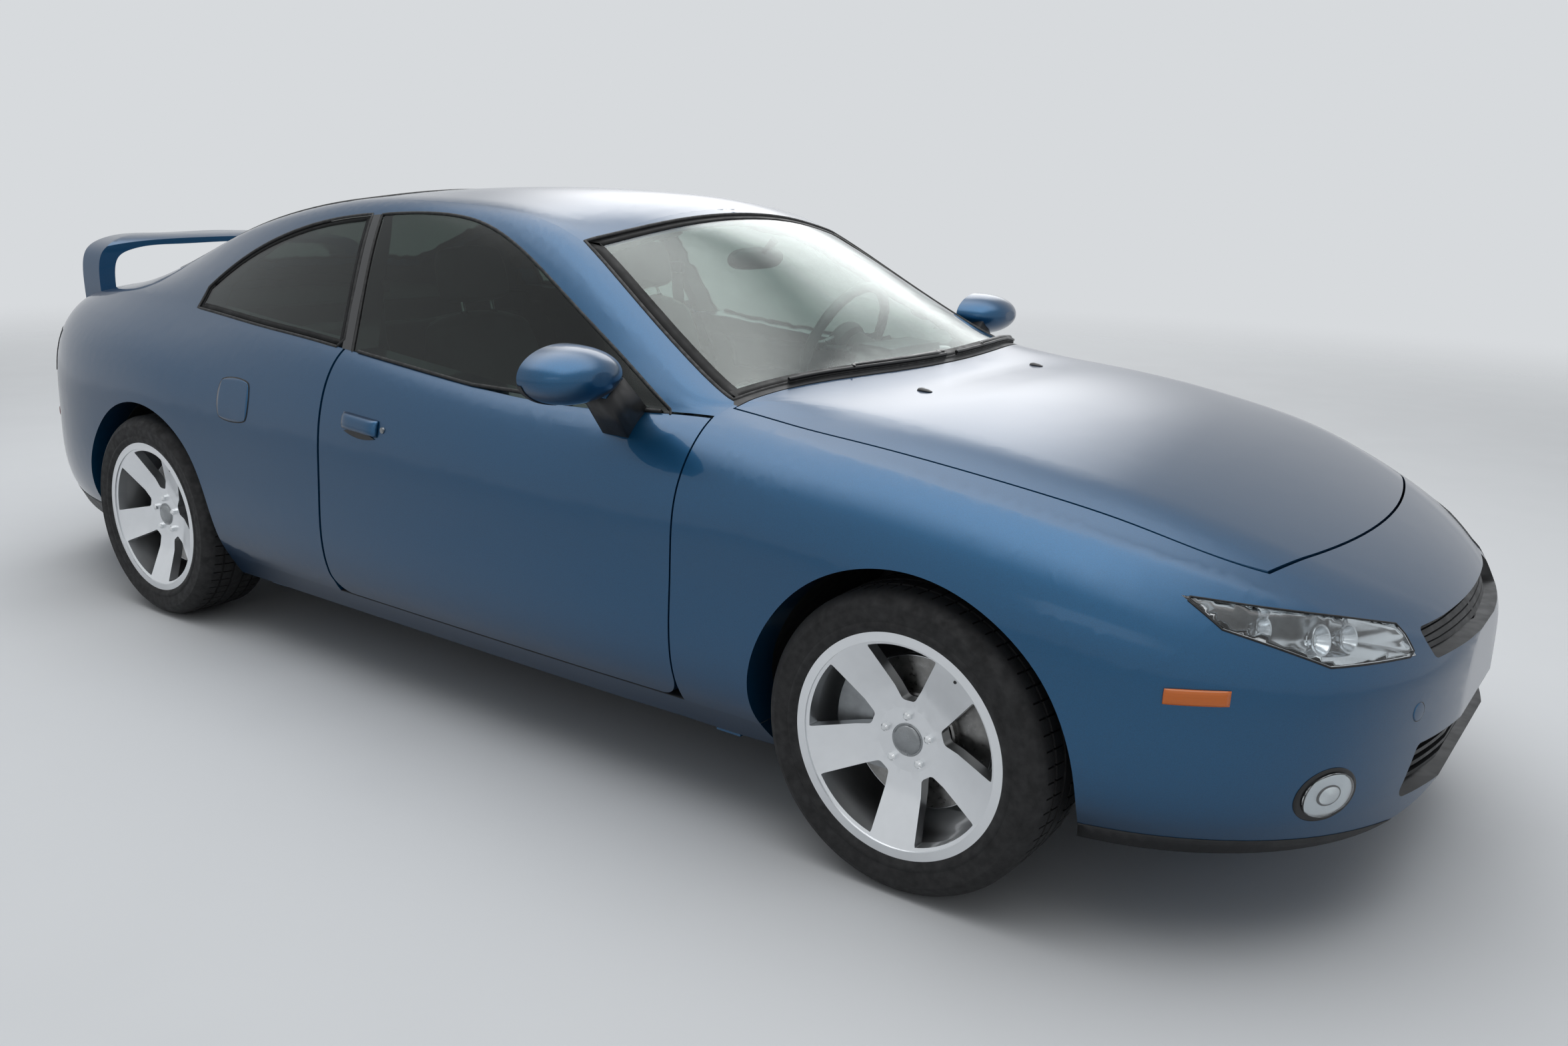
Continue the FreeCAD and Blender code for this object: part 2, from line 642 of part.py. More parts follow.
def build_glass(s):
    parts = {}
    parts["windscreen"] = solids_only(s.glass.common(windscreen_region(0)))
    parts["backlight"] = solids_only(s.glass.common(backlight_region(0)))
    pane = s.glass.common(window_region(-SHUT_GAP, SEAT)).common(ahead_of_pillar(SHUT_GAP + 4))
    pane = pane.common(box(-600, 830, 0, WIDE, 0, HIGH))
    parts["door_glass_left"] = solids_only(pane)
    parts["door_glass_right"] = mirror_y(parts["door_glass_left"])
    behind = cut(s.wall.common(window_region(0)), ahead_of_pillar(0))
    strip = behind.common(ahead_of_pillar(-PILLAR_WIDTH))
    post = s.under.common(box(-400, -330, 500, WIDE, 235, 940)).cut(s.beside_door)
    parts["b_pillars"] = two_sided(Part.makeCompound(solids_only(strip).Solids + post.Solids))
    rear_pane = cut(s.glass.common(window_region(0)), ahead_of_pillar(-PILLAR_WIDTH))
    parts["quarter_glass"] = two_sided(solids_only(rear_pane))
    return parts


def liners(s):
    """Arch liners: a thin half drum with its inner wall, between the side wall and the bay."""
    solids = []
    for x, y in ((FRONT_AXLE_X, WELL_FRONT_Y), (REAR_AXLE_X, WELL_REAR_Y)):
        big = Part.makeCylinder(ARCH_RADIUS + LINER, WIDE, V(x, y - LINER, AXLE_Z), V(0, 1, 0))
        small = Part.makeCylinder(ARCH_RADIUS, WIDE, V(x, y, AXLE_Z), V(0, 1, 0))
        drum = s.inner.common(big.cut(small))
        drum = drum.cut(Part.makeBox(2 * AXLE_HOLE, 60, TRAY_Z, V(x - AXLE_HOLE, y - 40, 0)))
        solids += solids_only(drum).Solids
    return two_sided(Part.makeCompound(solids))


def axle_tray(s):
    """Raised floor over the rear axle, between the arch liners."""
    half = WELL_REAR_Y - LINER
    outer = Part.makeBox(2 * TRAY_HALF, 2 * half, TRAY_Z + LINER, V(REAR_AXLE_X - TRAY_HALF, -half, 0))
    block = Part.makeBox(2 * TRAY_HALF, 2 * half + 2 * LINER + 1, TRAY_Z + LINER,
                         V(REAR_AXLE_X - TRAY_HALF, -half - LINER - 0.5, 0))
    hollow = Part.makeBox(2 * TRAY_HALF - 2 * LINER, 2 * half + 2, TRAY_Z,
                          V(REAR_AXLE_X - TRAY_HALF + LINER, -half - 1, 0))
    return s.outer.common(outer.cut(hollow)), block


def bulkheads(s):
    drums = [Part.makeCylinder(ARCH_RADIUS + LINER, WIDE, V(REAR_AXLE_X, y, AXLE_Z), V(0, 1, 0))
             for y in (WELL_REAR_Y - LINER,)]
    drums += [mirror_y(d) for d in drums]
    firewall = s.lining.common(box(*FIREWALL_X, -WIDE, WIDE, 0, 940))
    posts = s.under.common(box(820, FIREWALL_X[0], -WIDE, WIDE, 235, 885))
    posts = cut(posts, box(800, 920, -640, 640, 0, HIGH))
    firewall = firewall.fuse(posts).cut(s.beside_door)
    back = s.inner.common(box(*BULKHEAD_X, -WIDE, WIDE, TRAY_Z + LINER, 960))
    shelf = s.inner.common(box(-1880, BULKHEAD_X[1], -WIDE, WIDE, 948, 966))
    rear = cut(back.fuse(shelf), drums)
    return {"firewall": solids_only(firewall), "rear_bulkhead": solids_only(rear)}


ENGINE_X = (1180.0, 1790.0)
ENGINE_HALF_WIDTH = 280.0
ENGINE_Z = (257.3, 790.0)


def engine():
    x0, x1 = ENGINE_X
    half = ENGINE_HALF_WIDTH
    z0, z1 = ENGINE_Z
    section = [(-150, z0), (150, z0), (200, z0 + 150), (half, z1 - 150), (half - 60, z1),
               (60 - half, z1), (-half, z1 - 150), (-200, z0 + 150)]
    return polygon("YZ", x0 * KX, x1 * KX, section)


KNUCKLE_Y = 40.0
HUB_BACK = 20.0
POST_RADIUS = 17.0
POST_HALF = 105.0
SPINDLE_RADIUS = 18.0
PIN_CLEARANCE = 0.3
DISC_RADIUS = 165.0
DISC_Y = (-14.0, 12.0)
CALIPER_GAP = 5.0


def caliper():
    """A block over the disc's edge, slotted for it; y is measured outwards from the wheel plane."""
    outer = Part.makeCylinder(DISC_RADIUS + 26, DISC_Y[1] - DISC_Y[0] + 2 * CALIPER_GAP + 36,
                              V(0, DISC_Y[0] - CALIPER_GAP - 22, 0), V(0, 1, 0))
    inner = Part.makeCylinder(DISC_RADIUS - 62, 400, V(0, -200, 0), V(0, 1, 0))
    slot = Part.makeCylinder(DISC_RADIUS + CALIPER_GAP, DISC_Y[1] - DISC_Y[0] + 2 * CALIPER_GAP,
                             V(0, DISC_Y[0] - CALIPER_GAP, 0), V(0, 1, 0))
    wedge = Part.makeBox(300, 400, 190, V(0, -200, -95))
    body = outer.cut(inner).cut(slot).common(wedge)
    carrier = Part.makeBox(DISC_RADIUS - 30, 15, 60, V(0, DISC_Y[0] - CALIPER_GAP - 22, -30))
    return body.fuse(carrier)


def knuckle_left():
    y = -KNUCKLE_Y
    post = Part.makeCylinder(POST_RADIUS, 2 * POST_HALF, V(0, y, -POST_HALF), V(0, 0, 1))
    boss = Part.makeCylinder(46, KNUCKLE_Y - HUB_BACK + 5 - PIN_CLEARANCE, V(0, y - 5, 0), V(0, 1, 0))
    spindle = Part.makeCylinder(SPINDLE_RADIUS, 60 - y - 5, V(0, y, 0), V(0, 1, 0))
    arm = Part.makeBox(110, 18, 30, V(-110, y - 9, -75))
    body = post.multiFuse([boss, spindle, arm])
    clamp = caliper()
    clamp.rotate(V(0, 0, 0), V(0, 1, 0), 180)
    body = body.fuse(clamp)
    body.translate(V(FRONT_AXLE_X, WHEEL_Y, AXLE_Z))
    return body


def arm_between(p, q, width, height):
    """A flat bar from one point to another, level across."""
    d = q - p
    side = V(d.y, -d.x, 0)
    side.normalize()
    side = side * (width / 2)
    up = V(0, 0, height / 2)
    corners = [p - side - up, p + side - up, p + side + up, p - side + up]
    return Part.Face(Part.makePolygon(corners + corners[:1])).extrude(d)


SUBFRAME_Z = 222.0


def suspension_side(x, reach, spread):
    """One side's arms, damper and half of the cross beam, for an axle at x."""
    z = AXLE_Z
    low = V(x, WHEEL_Y - KNUCKLE_Y, z - POST_HALF - 12)
    top = V(x, WHEEL_Y - KNUCKLE_Y, z + POST_HALF + 12)
    pads = [Part.makeCylinder(26, 24 - 2 * PIN_CLEARANCE, low - V(0, 0, 12), V(0, 0, 1)),
            Part.makeCylinder(26, 24 - 2 * PIN_CLEARANCE, top - V(0, 0, 12 - 2 * PIN_CLEARANCE), V(0, 0, 1))]
    pieces = pads
    for end in (low, top):
        for dx in (-spread, spread):
            pieces.append(arm_between(end, V(x + dx, reach, end.z), 32, 20))
    pieces.append(Part.makeBox(2 * spread + 60, 40, top.z - low.z + 24,
                               V(x - spread - 30, reach - 40, low.z - 12)))
    pieces.append(Part.makeBox(120, reach, 60, V(x - 60, 0, low.z - 12)))
    return pieces


def front_subframe():
    pieces = suspension_side(FRONT_AXLE_X, 430, 60)
    strut = Part.makeCylinder(38, 480, V(FRONT_AXLE_X, 575, 215), V(0, 0, 1))
    ceiling = Part.makeCylinder(ARCH_RADIUS - 0.4, WIDE, V(FRONT_AXLE_X, 0, AXLE_Z), V(0, 1, 0))
    pieces.append(strut.common(ceiling))
    side = pieces[0].multiFuse(pieces[1:])
    return side.fuse(mirror_y(side))


def rear_subframe():
    """Rear arms, stub axles, drive housing and half shafts."""
    pieces = suspension_side(REAR_AXLE_X, 560, 60)
    y = WHEEL_Y - KNUCKLE_Y
    pieces.append(Part.makeCylinder(POST_RADIUS, 2 * POST_HALF + 24, V(REAR_AXLE_X, y, AXLE_Z - POST_HALF - 12), V(0, 0, 1)))
    pieces.append(Part.makeCylinder(46, KNUCKLE_Y - HUB_BACK + 5 - PIN_CLEARANCE,
                                    V(REAR_AXLE_X, y - 5, AXLE_Z), V(0, 1, 0)))
    pieces.append(Part.makeCylinder(SPINDLE_RADIUS, 60 + KNUCKLE_Y - 5, V(REAR_AXLE_X, y, AXLE_Z), V(0, 1, 0)))
    pieces.append(Part.makeCylinder(16, y, V(REAR_AXLE_X, 0, AXLE_Z), V(0, 1, 0)))
    pieces.append(Part.makeBox(300, 130, 200, V(REAR_AXLE_X - 150, 0, AXLE_Z - 110)))
    clamp = caliper()
    clamp.translate(V(REAR_AXLE_X, WHEEL_Y, AXLE_Z))
    pieces.append(clamp)
    for dx in (-60, 60):
        pieces.append(Part.makeCylinder(18, TRAY_Z - SEAT - AXLE_Z - POST_HALF,
                                        V(REAR_AXLE_X + dx, 540, AXLE_Z + POST_HALF), V(0, 0, 1)))
    side = pieces[0].multiFuse(pieces[1:])
    return side.fuse(mirror_y(side))


SPOKES = 5
RIM_LIP = 12.0
RIM_WALL = 8.0
FACE_Y = 62.0


def revolve_y(points):
    """Turn a closed outline of (radius, y) points about the Y axis."""
    pts = [V(r, y, 0) for r, y in points]
    return Part.Face(Part.makePolygon(pts + pts[:1])).revolve(V(0, 0, 0), V(0, 1, 0), 360)


def rim():
    """Alloy wheel with its hub and brake disc, its outer side towards +Y."""
    half = TYRE_WIDTH / 2 - 8
    bead = RIM_RADIUS
    lip = bead + RIM_LIP
    barrel = revolve_y([
        (bead, -half + 8), (lip, -half + 6), (lip, -half), (bead - RIM_WALL, -half),
        (bead - RIM_WALL - 6, 0), (bead - RIM_WALL, half), (lip, half), (lip, half - 6),
        (bead, half - 8)])
    face = revolve_y([(0, FACE_Y), (70, FACE_Y), (120, FACE_Y + 8), (bead - RIM_WALL + 2, half - 4),
                      (bead - RIM_WALL + 2, half - 34), (120, FACE_Y - 20), (70, FACE_Y - 30), (0, FACE_Y - 30)])
    window = Part.Face(Part.makePolygon([
        V(86, 0, -14), V(206, 0, -84), V(219, 0, -40), V(219, 0, 40), V(206, 0, 84), V(86, 0, 14),
        V(86, 0, -14)])).extrude(V(0, 300, 0))
    window = window.makeFillet(12, [e for e in window.Edges
                                    if abs(e.tangentAt(e.FirstParameter).y) > 0.999])
    window = window.common(Part.makeCylinder(bead - RIM_WALL - 7, 300, V(0, 0, 0), V(0, 1, 0)))
    for i in range(SPOKES):
        hole = window.copy()
        hole.rotate(V(0, 0, 0), V(0, 1, 0), 90 + 360 / SPOKES * (i + 0.5))
        face = face.cut(hole)
    hub = Part.makeCylinder(66, FACE_Y - 10 + HUB_BACK, V(0, -HUB_BACK, 0), V(0, 1, 0))
    disc = Part.makeCylinder(DISC_RADIUS, DISC_Y[1] - DISC_Y[0], V(0, DISC_Y[0], 0), V(0, 1, 0))
    body = barrel.multiFuse([face, hub, disc])
    bore = Part.makeCylinder(SPINDLE_RADIUS + PIN_CLEARANCE, 20 + 57, V(0, -21, 0), V(0, 1, 0))
    return body.cut(bore)


def tyre():
    half = TYRE_WIDTH / 2
    bead = RIM_RADIUS
    r = TYRE_RADIUS
    lip = bead + RIM_LIP
    seat = half - 8
    profile = [(bead, -seat + 8.3), (lip + 0.3, -seat + 6.3), (lip + 0.3, -seat - 1)]
    side = [(lip + 14, -half + 3), (0.5 * (lip + r), -half), (r - 26, -half + 5), (r - 8, -half + 18),
            (r - 1.5, -half + 42), (r, 0)]
    left = profile + side
    right = [(a, -b) for a, b in left[:-1]][::-1]
    return revolve_y(left + right)


WHEELS = [("fl", FRONT_AXLE_X, 1), ("fr", FRONT_AXLE_X, -1), ("rl", REAR_AXLE_X, 1),
          ("rr", REAR_AXLE_X, -1)]


def build_wheels():
    parts = {}
    shapes = {"rim": rim(), "tyre": tyre()}
    for name, x, side in WHEELS:
        for kind, shape in shapes.items():
            piece = shape if side > 0 else mirror_y(shape)
            piece = piece.copy()
            piece.translate(V(x, side * WHEEL_Y, AXLE_Z))
            parts[kind + "_" + name] = piece
    return parts


def seats():
    """Two front seats, each a cushion, a back and a head restraint on one base."""
    y = 370.0
    half = 250.0
    cushion = polygon("XZ", (y - half) * KY, (y + half) * KY, [
        (-180, 236), (330, 236), (370, 300), (372, 440), (330, 478), (-80, 455), (-180, 440)])
    back = polygon("XZ", (y - half + 10) * KY, (y + half - 10) * KY, [
        (-190, 440), (-60, 455), (-90, 600), (-215, 1010), (-260, 1040), (-330, 1030), (-335, 960),
        (-250, 700), (-220, 500)])
    head = polygon("XZ", (y - 130) * KY, (y + 130) * KY, [
        (-262, 1036), (-235, 1060), (-285, 1195), (-325, 1215), (-372, 1200), (-350, 1060), (-328, 1028)])
    seat = cushion.multiFuse([back, head])
    return two_sided(seat)


def rear_seat(s):
    cushion = polygon("XZ", -600 * KY, 600 * KY, [
        (-1120, 236), (-560, 236), (-530, 300), (-540, 450), (-600, 475), (-1030, 440)])
    back = polygon("XZ", -560 * KY, 560 * KY, [
        (-1179, 380), (-1020, 420), (-1010, 520), (-1085, 900), (-1120, 935), (-1179, 940)])
    seat = cushion.fuse(back).common(s.lining)
    drum = Part.makeCylinder(ARCH_RADIUS + LINER + 1, WIDE, V(REAR_AXLE_X, WELL_REAR_Y - LINER - 1, AXLE_Z), V(0, 1, 0))
    return cut(seat, drum, mirror_y(drum), axle_tray(s)[1])


WHEEL_CENTRE = (520.0, 370.0, 940.0)
STEERING_RADIUS = 185.0
STEERING_TILT = 24.0


def dashboard():
    panel = polygon("XZ", -640 * KY, 640 * KY, [
        (904, 560), (904, 905), (820, 918), (700, 905), (648, 868), (655, 770), (740, 640)])
    binnacle = polygon("XZ", 230 * KY, 510 * KY, [(780, 900), (770, 950), (660, 955), (640, 860)])
    console = polygon("XZ", -110 * KY, 110 * KY, [
        (760, 236), (760, 760), (640, 700), (480, 470), (-60, 440), (-60, 236)])
    column = Part.makeCylinder(COLUMN_RADIUS + SEAT, COLUMN_LENGTH + 20, V(0, 0, -COLUMN_LENGTH - 10))
    return panel.multiFuse([binnacle, console]).cut(place_wheel(column))


COLUMN_RADIUS = 30.0
COLUMN_LENGTH = 200.0


def place_wheel(shape):
    """From the steering wheel's own plane to its place before the driver."""
    shape.rotate(V(0, 0, 0), V(0, 0, 1), 90)
    shape.rotate(V(0, 0, 0), V(0, 1, 0), -(90 - STEERING_TILT))
    shape.translate(V(WHEEL_CENTRE[0] * KX, WHEEL_CENTRE[1] * KY, WHEEL_CENTRE[2] * KZ))
    return shape


def steering_wheel():
    ring = Part.Face(Part.makePolygon([
        V(STEERING_RADIUS + 15 * math.cos(a), 0, 15 * math.sin(a))
        for a in [math.radians(45 * i + 22.5) for i in range(8)] + [math.radians(22.5)]
    ])).revolve(V(0, 0, 0), V(0, 0, 1), 360)
    hub = Part.makeCylinder(52, 36, V(0, 0, -18))
    spokes = [Part.makeBox(STEERING_RADIUS, 34, 14, V(0, -17, -7)) for _ in range(3)]
    for spoke, angle in zip(spokes, (0, 180, 90)):
        spoke.rotate(V(0, 0, 0), V(0, 0, 1), angle)
    column = Part.makeCylinder(COLUMN_RADIUS, COLUMN_LENGTH, V(0, 0, -COLUMN_LENGTH))
    return place_wheel(ring.multiFuse([hub, column] + spokes))


MIRROR_CENTRE = (690.0, 960.0, 998.0)
MIRROR_FLAT = 42.0
# Distance forward of the centre, half width and half height of each ring of the mirror housing
MIRROR_RINGS = [(-42, 127, 66), (0, 126, 64), (40, 111, 55), (72, 76, 37), (88, 32, 15)]


def door_mirror(s):
    """Left door mirror: a domed housing on a foot that stands on the door's front corner."""
    x, y, z = MIRROR_CENTRE
    rings = []
    for dx, half_width, half_height in MIRROR_RINGS:
        ellipse = Part.Ellipse(V(x + dx, y + half_width, z), V(x + dx, y, z + half_height),
                               V(x + dx, y, z))
        rings.append(Part.Wire(ellipse.toShape()))
    housing = Part.makeLoft(rings, True)
    foot = polygon("YZ", x - MIRROR_FLAT + 12, x + 46, [
        (730, 860), (830, 840), (905, 945), (905, 985), (850, 985), (790, 925)])
    return solids_only(housing.fuse(foot).cut(s.outer))


# Spoiler, left half from the front: outer and inner lines of the leg and blade
SPOILER_OUTER = [(572, 860), (570, 1030), (548, 1108), (470, 1148), (240, 1162), (0, 1166)]
SPOILER_INNER = [(0, 1130), (240, 1126), (430, 1112), (486, 1086), (506, 1030), (508, 860)]


def spoiler(s):
    """Raised blade over the boot lid, its ends curving down into two legs."""
    mirrored = [[(-y, z) for y, z in run[::-1]] for run in (SPOILER_OUTER, SPOILER_INNER)]
    outer = SPOILER_OUTER + mirrored[0][1:]
    inner = mirrored[1] + SPOILER_INNER[1:]
    arch = prism("YZ", -2320, -2060, outer, [outer[-1], inner[0]], inner, [inner[-1], outer[0]])
    plan = prism("XY", 850, 1200,
                 [(-2078, -600), (-2120, -300), (-2130, 0), (-2120, 300), (-2078, 600)],
                 [(-2078, 600), (-2188, 600)],
                 [(-2188, 600), (-2262, 300), (-2276, 0), (-2262, -300), (-2188, -600)],
                 [(-2188, -600), (-2078, -600)])
    wing = prism("XZ", -WIDE, WIDE, [(-2070, 1096), (-2110, 1140), (-2180, 1160), (-2290, 1168)],
                 [(-2290, 1168), (-2290, 850)], [(-2290, 850), (-2070, 850)],
                 [(-2070, 850), (-2070, 1096)])
    return solids_only(arch.common(plan).common(wing).cut(s.outer))


WIPER_HEIGHT = 16.0
WIPER_REACH = ((-560, 40), (90, 640))
# The wipers lie behind the bonnet's rear edge, between these distances from it
WIPER_BEHIND = (12.0, 30.0)


def behind_hood(y, distance):
    """A point at y, at a distance behind the bonnet's curved rear edge."""
    side_x, half = HOOD_REAR[0][0], HOOD_REAR[-1][1]
    return (side_x + (HOOD_REAR[1][0] - side_x) * (1 - (y / half) ** 2) - distance, y)


def wipers(s):
    above = s.outer.copy()
    above.translate(V(0, 0, WIPER_HEIGHT))
    layer = above.cut(s.outer)
    blades = []
    for y0, y1 in WIPER_REACH:
        places = (y0, (y0 + y1) / 2, y1)
        front = [behind_hood(y, WIPER_BEHIND[0]) for y in places]
        rear = [behind_hood(y, WIPER_BEHIND[1]) for y in places[::-1]]
        strip = prism("XY", 800, HIGH, front, [front[-1], rear[0]], rear, [rear[-1], front[0]])
        blades += layer.common(strip).Solids
    return Part.makeCompound(blades)


EXHAUST_RADIUS = 28.0
EXHAUST_Z = 160.0


def exhaust(s):
    """Down pipe, pipe, silencer and two tail pipes, hung just under the floor."""
    y = -150.0
    pieces = [Part.makeCylinder(EXHAUST_RADIUS, 2900, V(-1780, y, EXHAUST_Z), V(1, 0, 0)),
              Part.makeCylinder(EXHAUST_RADIUS, ENGINE_Z[0] * KZ - 0.3 - EXHAUST_Z,
                                V(1090 + 130, y, EXHAUST_Z), V(0, 0, 1)),
              Part.makeCylinder(EXHAUST_RADIUS, 140, V(1110, y, EXHAUST_Z), V(1, 0, 0)),
              Part.makeBox(300, 760, 110, V(-2070, -380, EXHAUST_Z - 35))]
    for side in (-1, 1):
        pieces.append(Part.makeCylinder(36, 330, V(-2360, side * 330, EXHAUST_Z + 22), V(1, 0, 0)))
    bores = [Part.makeCylinder(31, 250, V(-2361, side * 330, EXHAUST_Z + 22), V(1, 0, 0))
             for side in (-1, 1)]
    return solids_only(cut(pieces[0].multiFuse(pieces[1:]), bores, s.outer))


TOW_Y = -395.0
TOW_Z = 470.0
TOW_RADIUS = 20.0
TOW_THREAD = 8.5
TOW_X = (2195.0, 2300.0)
TOW_DEPTH = 70.0


def tow_hole():
    x0 = TOW_X[0]
    return Part.makeCylinder(TOW_RADIUS, 400, V(x0 * KX, TOW_Y, TOW_Z), V(1, 0, 0))


def tow_socket():
    x0, x1 = TOW_X
    tube = Part.makeCylinder(TOW_RADIUS, x1 - x0, V(x0 * KX, TOW_Y, TOW_Z), V(1, 0, 0))
    bore = Part.makeCylinder(TOW_THREAD, TOW_DEPTH + 1, V(x0 * KX + x1 - x0 - TOW_DEPTH, TOW_Y, TOW_Z),
                             V(1, 0, 0))
    return tube.cut(bore)


JACK_X = (-760.0, 1000.0)
JACK_SIZE = 70.0
JACK_Z = 182.0


def jack_pads(sill):
    """Square pads under a left sill, where a jack lifts the car."""
    pads = [Part.makeBox(JACK_SIZE, JACK_SIZE, 30, V(x * KX - JACK_SIZE / 2, 720, JACK_Z)) for x in JACK_X]
    return sill.fuse(cut(pads[0].fuse(pads[1]), sill))


def build():
    s = Shell()
    parts = build_panels(s)
    parts.update(build_glass(s))
    parts.update(bulkheads(s))
    parts["arch_liners"] = liners(s)
    parts["grille"] = grille(s)
    parts["engine_block"] = engine()
    parts["front_subframe"] = front_subframe()
    parts["rear_subframe"] = rear_subframe()
    parts["knuckle_fl"] = knuckle_left()
    parts["knuckle_fr"] = mirror_y(parts["knuckle_fl"])
    parts.update(build_wheels())
    parts["front_seats"] = seats()
    parts["rear_seat"] = rear_seat(s)
    parts["dashboard"] = dashboard()
    parts["steering_wheel"] = steering_wheel()
    parts["mirror_left"] = door_mirror(s)
    parts["mirror_right"] = mirror_y(parts["mirror_left"])
    parts["spoiler"] = spoiler(s)
    parts["exhaust"] = exhaust(s)
    parts["tow_socket"] = tow_socket()
    parts["wipers"] = wipers(s)
    return parts


if __name__ == "__main__":
    os.makedirs("parts", exist_ok=True)
    for name, shape in build().items():
        shape.exportStep("parts/%s.step" % name)
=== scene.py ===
"""Blender 4.5 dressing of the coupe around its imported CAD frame, laid out as an add-on.

Everything is in metres in the frame's own axes: +X to the front, +Y to the car's left, +Z up.
"""

import math

import bmesh
import bpy
from bpy.props import FloatProperty, FloatVectorProperty, IntProperty, PointerProperty
from mathutils import Matrix, Vector
from mathutils.bvhtree import BVHTree


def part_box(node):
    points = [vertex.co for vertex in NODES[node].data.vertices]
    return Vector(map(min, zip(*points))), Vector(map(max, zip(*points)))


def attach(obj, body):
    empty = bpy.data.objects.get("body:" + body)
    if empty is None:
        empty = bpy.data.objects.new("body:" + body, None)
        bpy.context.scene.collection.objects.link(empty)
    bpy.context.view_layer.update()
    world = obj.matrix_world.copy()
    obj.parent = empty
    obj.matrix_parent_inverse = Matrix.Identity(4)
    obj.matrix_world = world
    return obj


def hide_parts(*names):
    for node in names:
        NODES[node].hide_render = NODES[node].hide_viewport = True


bl_info = {
    "name": "Coupe car",
    "version": (1, 0, 0),
    "blender": (4, 5, 0),
    "location": "3D View > Sidebar > Coupe",
    "description": "Paint, glass, lamps, wheels and cabin of a two-door coupe",
    "category": "Object",
}

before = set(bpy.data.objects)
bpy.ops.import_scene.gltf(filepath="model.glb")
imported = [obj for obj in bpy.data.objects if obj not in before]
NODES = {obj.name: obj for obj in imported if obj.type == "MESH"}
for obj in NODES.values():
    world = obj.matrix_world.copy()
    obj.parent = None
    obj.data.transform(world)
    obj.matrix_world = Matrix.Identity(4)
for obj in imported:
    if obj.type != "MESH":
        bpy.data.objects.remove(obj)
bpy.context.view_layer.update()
ROOT = "body"
SIDES = {"left": 1.0, "right": -1.0}

FRONT_AXLE_X = 1.505
REAR_AXLE_X = -1.283
WHEEL_Y = 0.780
WHEEL_Z = 0.326
# Wheel name, axle x and side; the centre of each is WHEEL_Y out and WHEEL_Z up
WHEELS = (
    ("fl", FRONT_AXLE_X, 1.0),
    ("fr", FRONT_AXLE_X, -1.0),
    ("rl", REAR_AXLE_X, 1.0),
    ("rr", REAR_AXLE_X, -1.0),
)
MM = 0.001


def linear(text):
    """The linear colour, with alpha, of an sRGB hex value such as 2a4c7e."""
    parts = [int(text[i : i + 2], 16) / 255 for i in (0, 2, 4)]
    return tuple(p / 12.92 if p <= 0.04045 else ((p + 0.055) / 1.055) ** 2.4 for p in parts) + (1.0,)


# Settings


def hue(name, description, text):
    return FloatVectorProperty(
        name=name, description=description, subtype="COLOR", size=4, min=0.0, max=1.0,
        default=linear(text))


def span(name, description, metres, most=10.0):
    return FloatProperty(
        name=name, description=description, default=metres, min=0.0, max=most,
        subtype="DISTANCE", unit="LENGTH")


class CoupeFinish(bpy.types.PropertyGroup):
    """Colours of the car's finishes"""

    paint: hue("Paint", "Metallic body colour", "12557e")
    paint_flop: hue("Paint, edge on", "Body colour where the paint is seen edge on", "0c1d38")
    trim: hue("Trim", "Moulded black plastic outside", "17181a")
    cabin: hue("Cabin", "Soft moulded panels in the cabin", "434548")
    cabin_light: hue("Cabin, upper", "Headliner and pillar cloth", "9a9b97")
    leather: hue("Leather", "Seats and steering wheel", "4b4d50")
    carpet: hue("Carpet", "Floor and boot", "232426")
    alloy: hue("Wheels", "Lacquered alloy wheels", "e4e6e8")


class CoupeSizes(bpy.types.PropertyGroup):
    """Sizes of the pieces that the scene adds"""

    seal: span("Glass seal", "Width of the rubber along a glass edge", 0.011, 0.03)
    groove: span("Tread groove", "Depth of the grooves round a tyre", 0.0065, 0.012)
    pitches: IntProperty(
        name="Tread blocks", description="Blocks round a tyre", default=64, min=24, max=96)


def finish_of(context):
    return context.scene.coupe_finish


def sizes_of(context):
    return context.scene.coupe_sizes


# Shader building


def add_node(tree, kind, inputs=None, **settings):
    """Adds a node, sets its properties, and sets or links its inputs."""
    made = tree.nodes.new(kind)
    for name, value in settings.items():
        setattr(made, name, value)
    for name, value in (inputs or {}).items():
        socket = made.inputs[name]
        if isinstance(value, bpy.types.NodeSocket):
            tree.links.new(value, socket)
        else:
            socket.default_value = value
    return made


def new_finish(name, colour, roughness, **sockets):
    """A material with one Principled shader, whose sockets are named with underscores for spaces."""
    material = bpy.data.materials.new(name)
    material.use_nodes = True
    tree = material.node_tree
    shader = tree.nodes["Principled BSDF"]
    shader.inputs["Base Color"].default_value = linear(colour) if isinstance(colour, str) else tuple(colour)
    shader.inputs["Roughness"].default_value = roughness
    for key, value in sockets.items():
        shader.inputs[key.replace("_", " ")].default_value = value
    return material, tree, shader


def object_coordinates(tree):
    return add_node(tree, "ShaderNodeTexCoord").outputs["Object"]


def mottle(tree, shader, where, size, low, high, spread=(0.35, 0.65)):
    """Blends the shader's colour between low and high times itself in patches of a real size in metres."""
    base = shader.inputs["Base Color"].default_value[:]
    cloud = add_node(tree, "ShaderNodeTexNoise", {"Vector": where, "Scale": 1 / size, "Detail": 4.0})
    ramp = add_node(tree, "ShaderNodeValToRGB", {"Fac": cloud.outputs["Fac"]})
    for element, place, share in zip(ramp.color_ramp.elements, spread, (low, high)):
        element.position = place
        element.color = tuple(min(1.0, c * share) for c in base[:3]) + (1.0,)
    tree.links.new(ramp.outputs["Color"], shader.inputs["Base Color"])
    return ramp


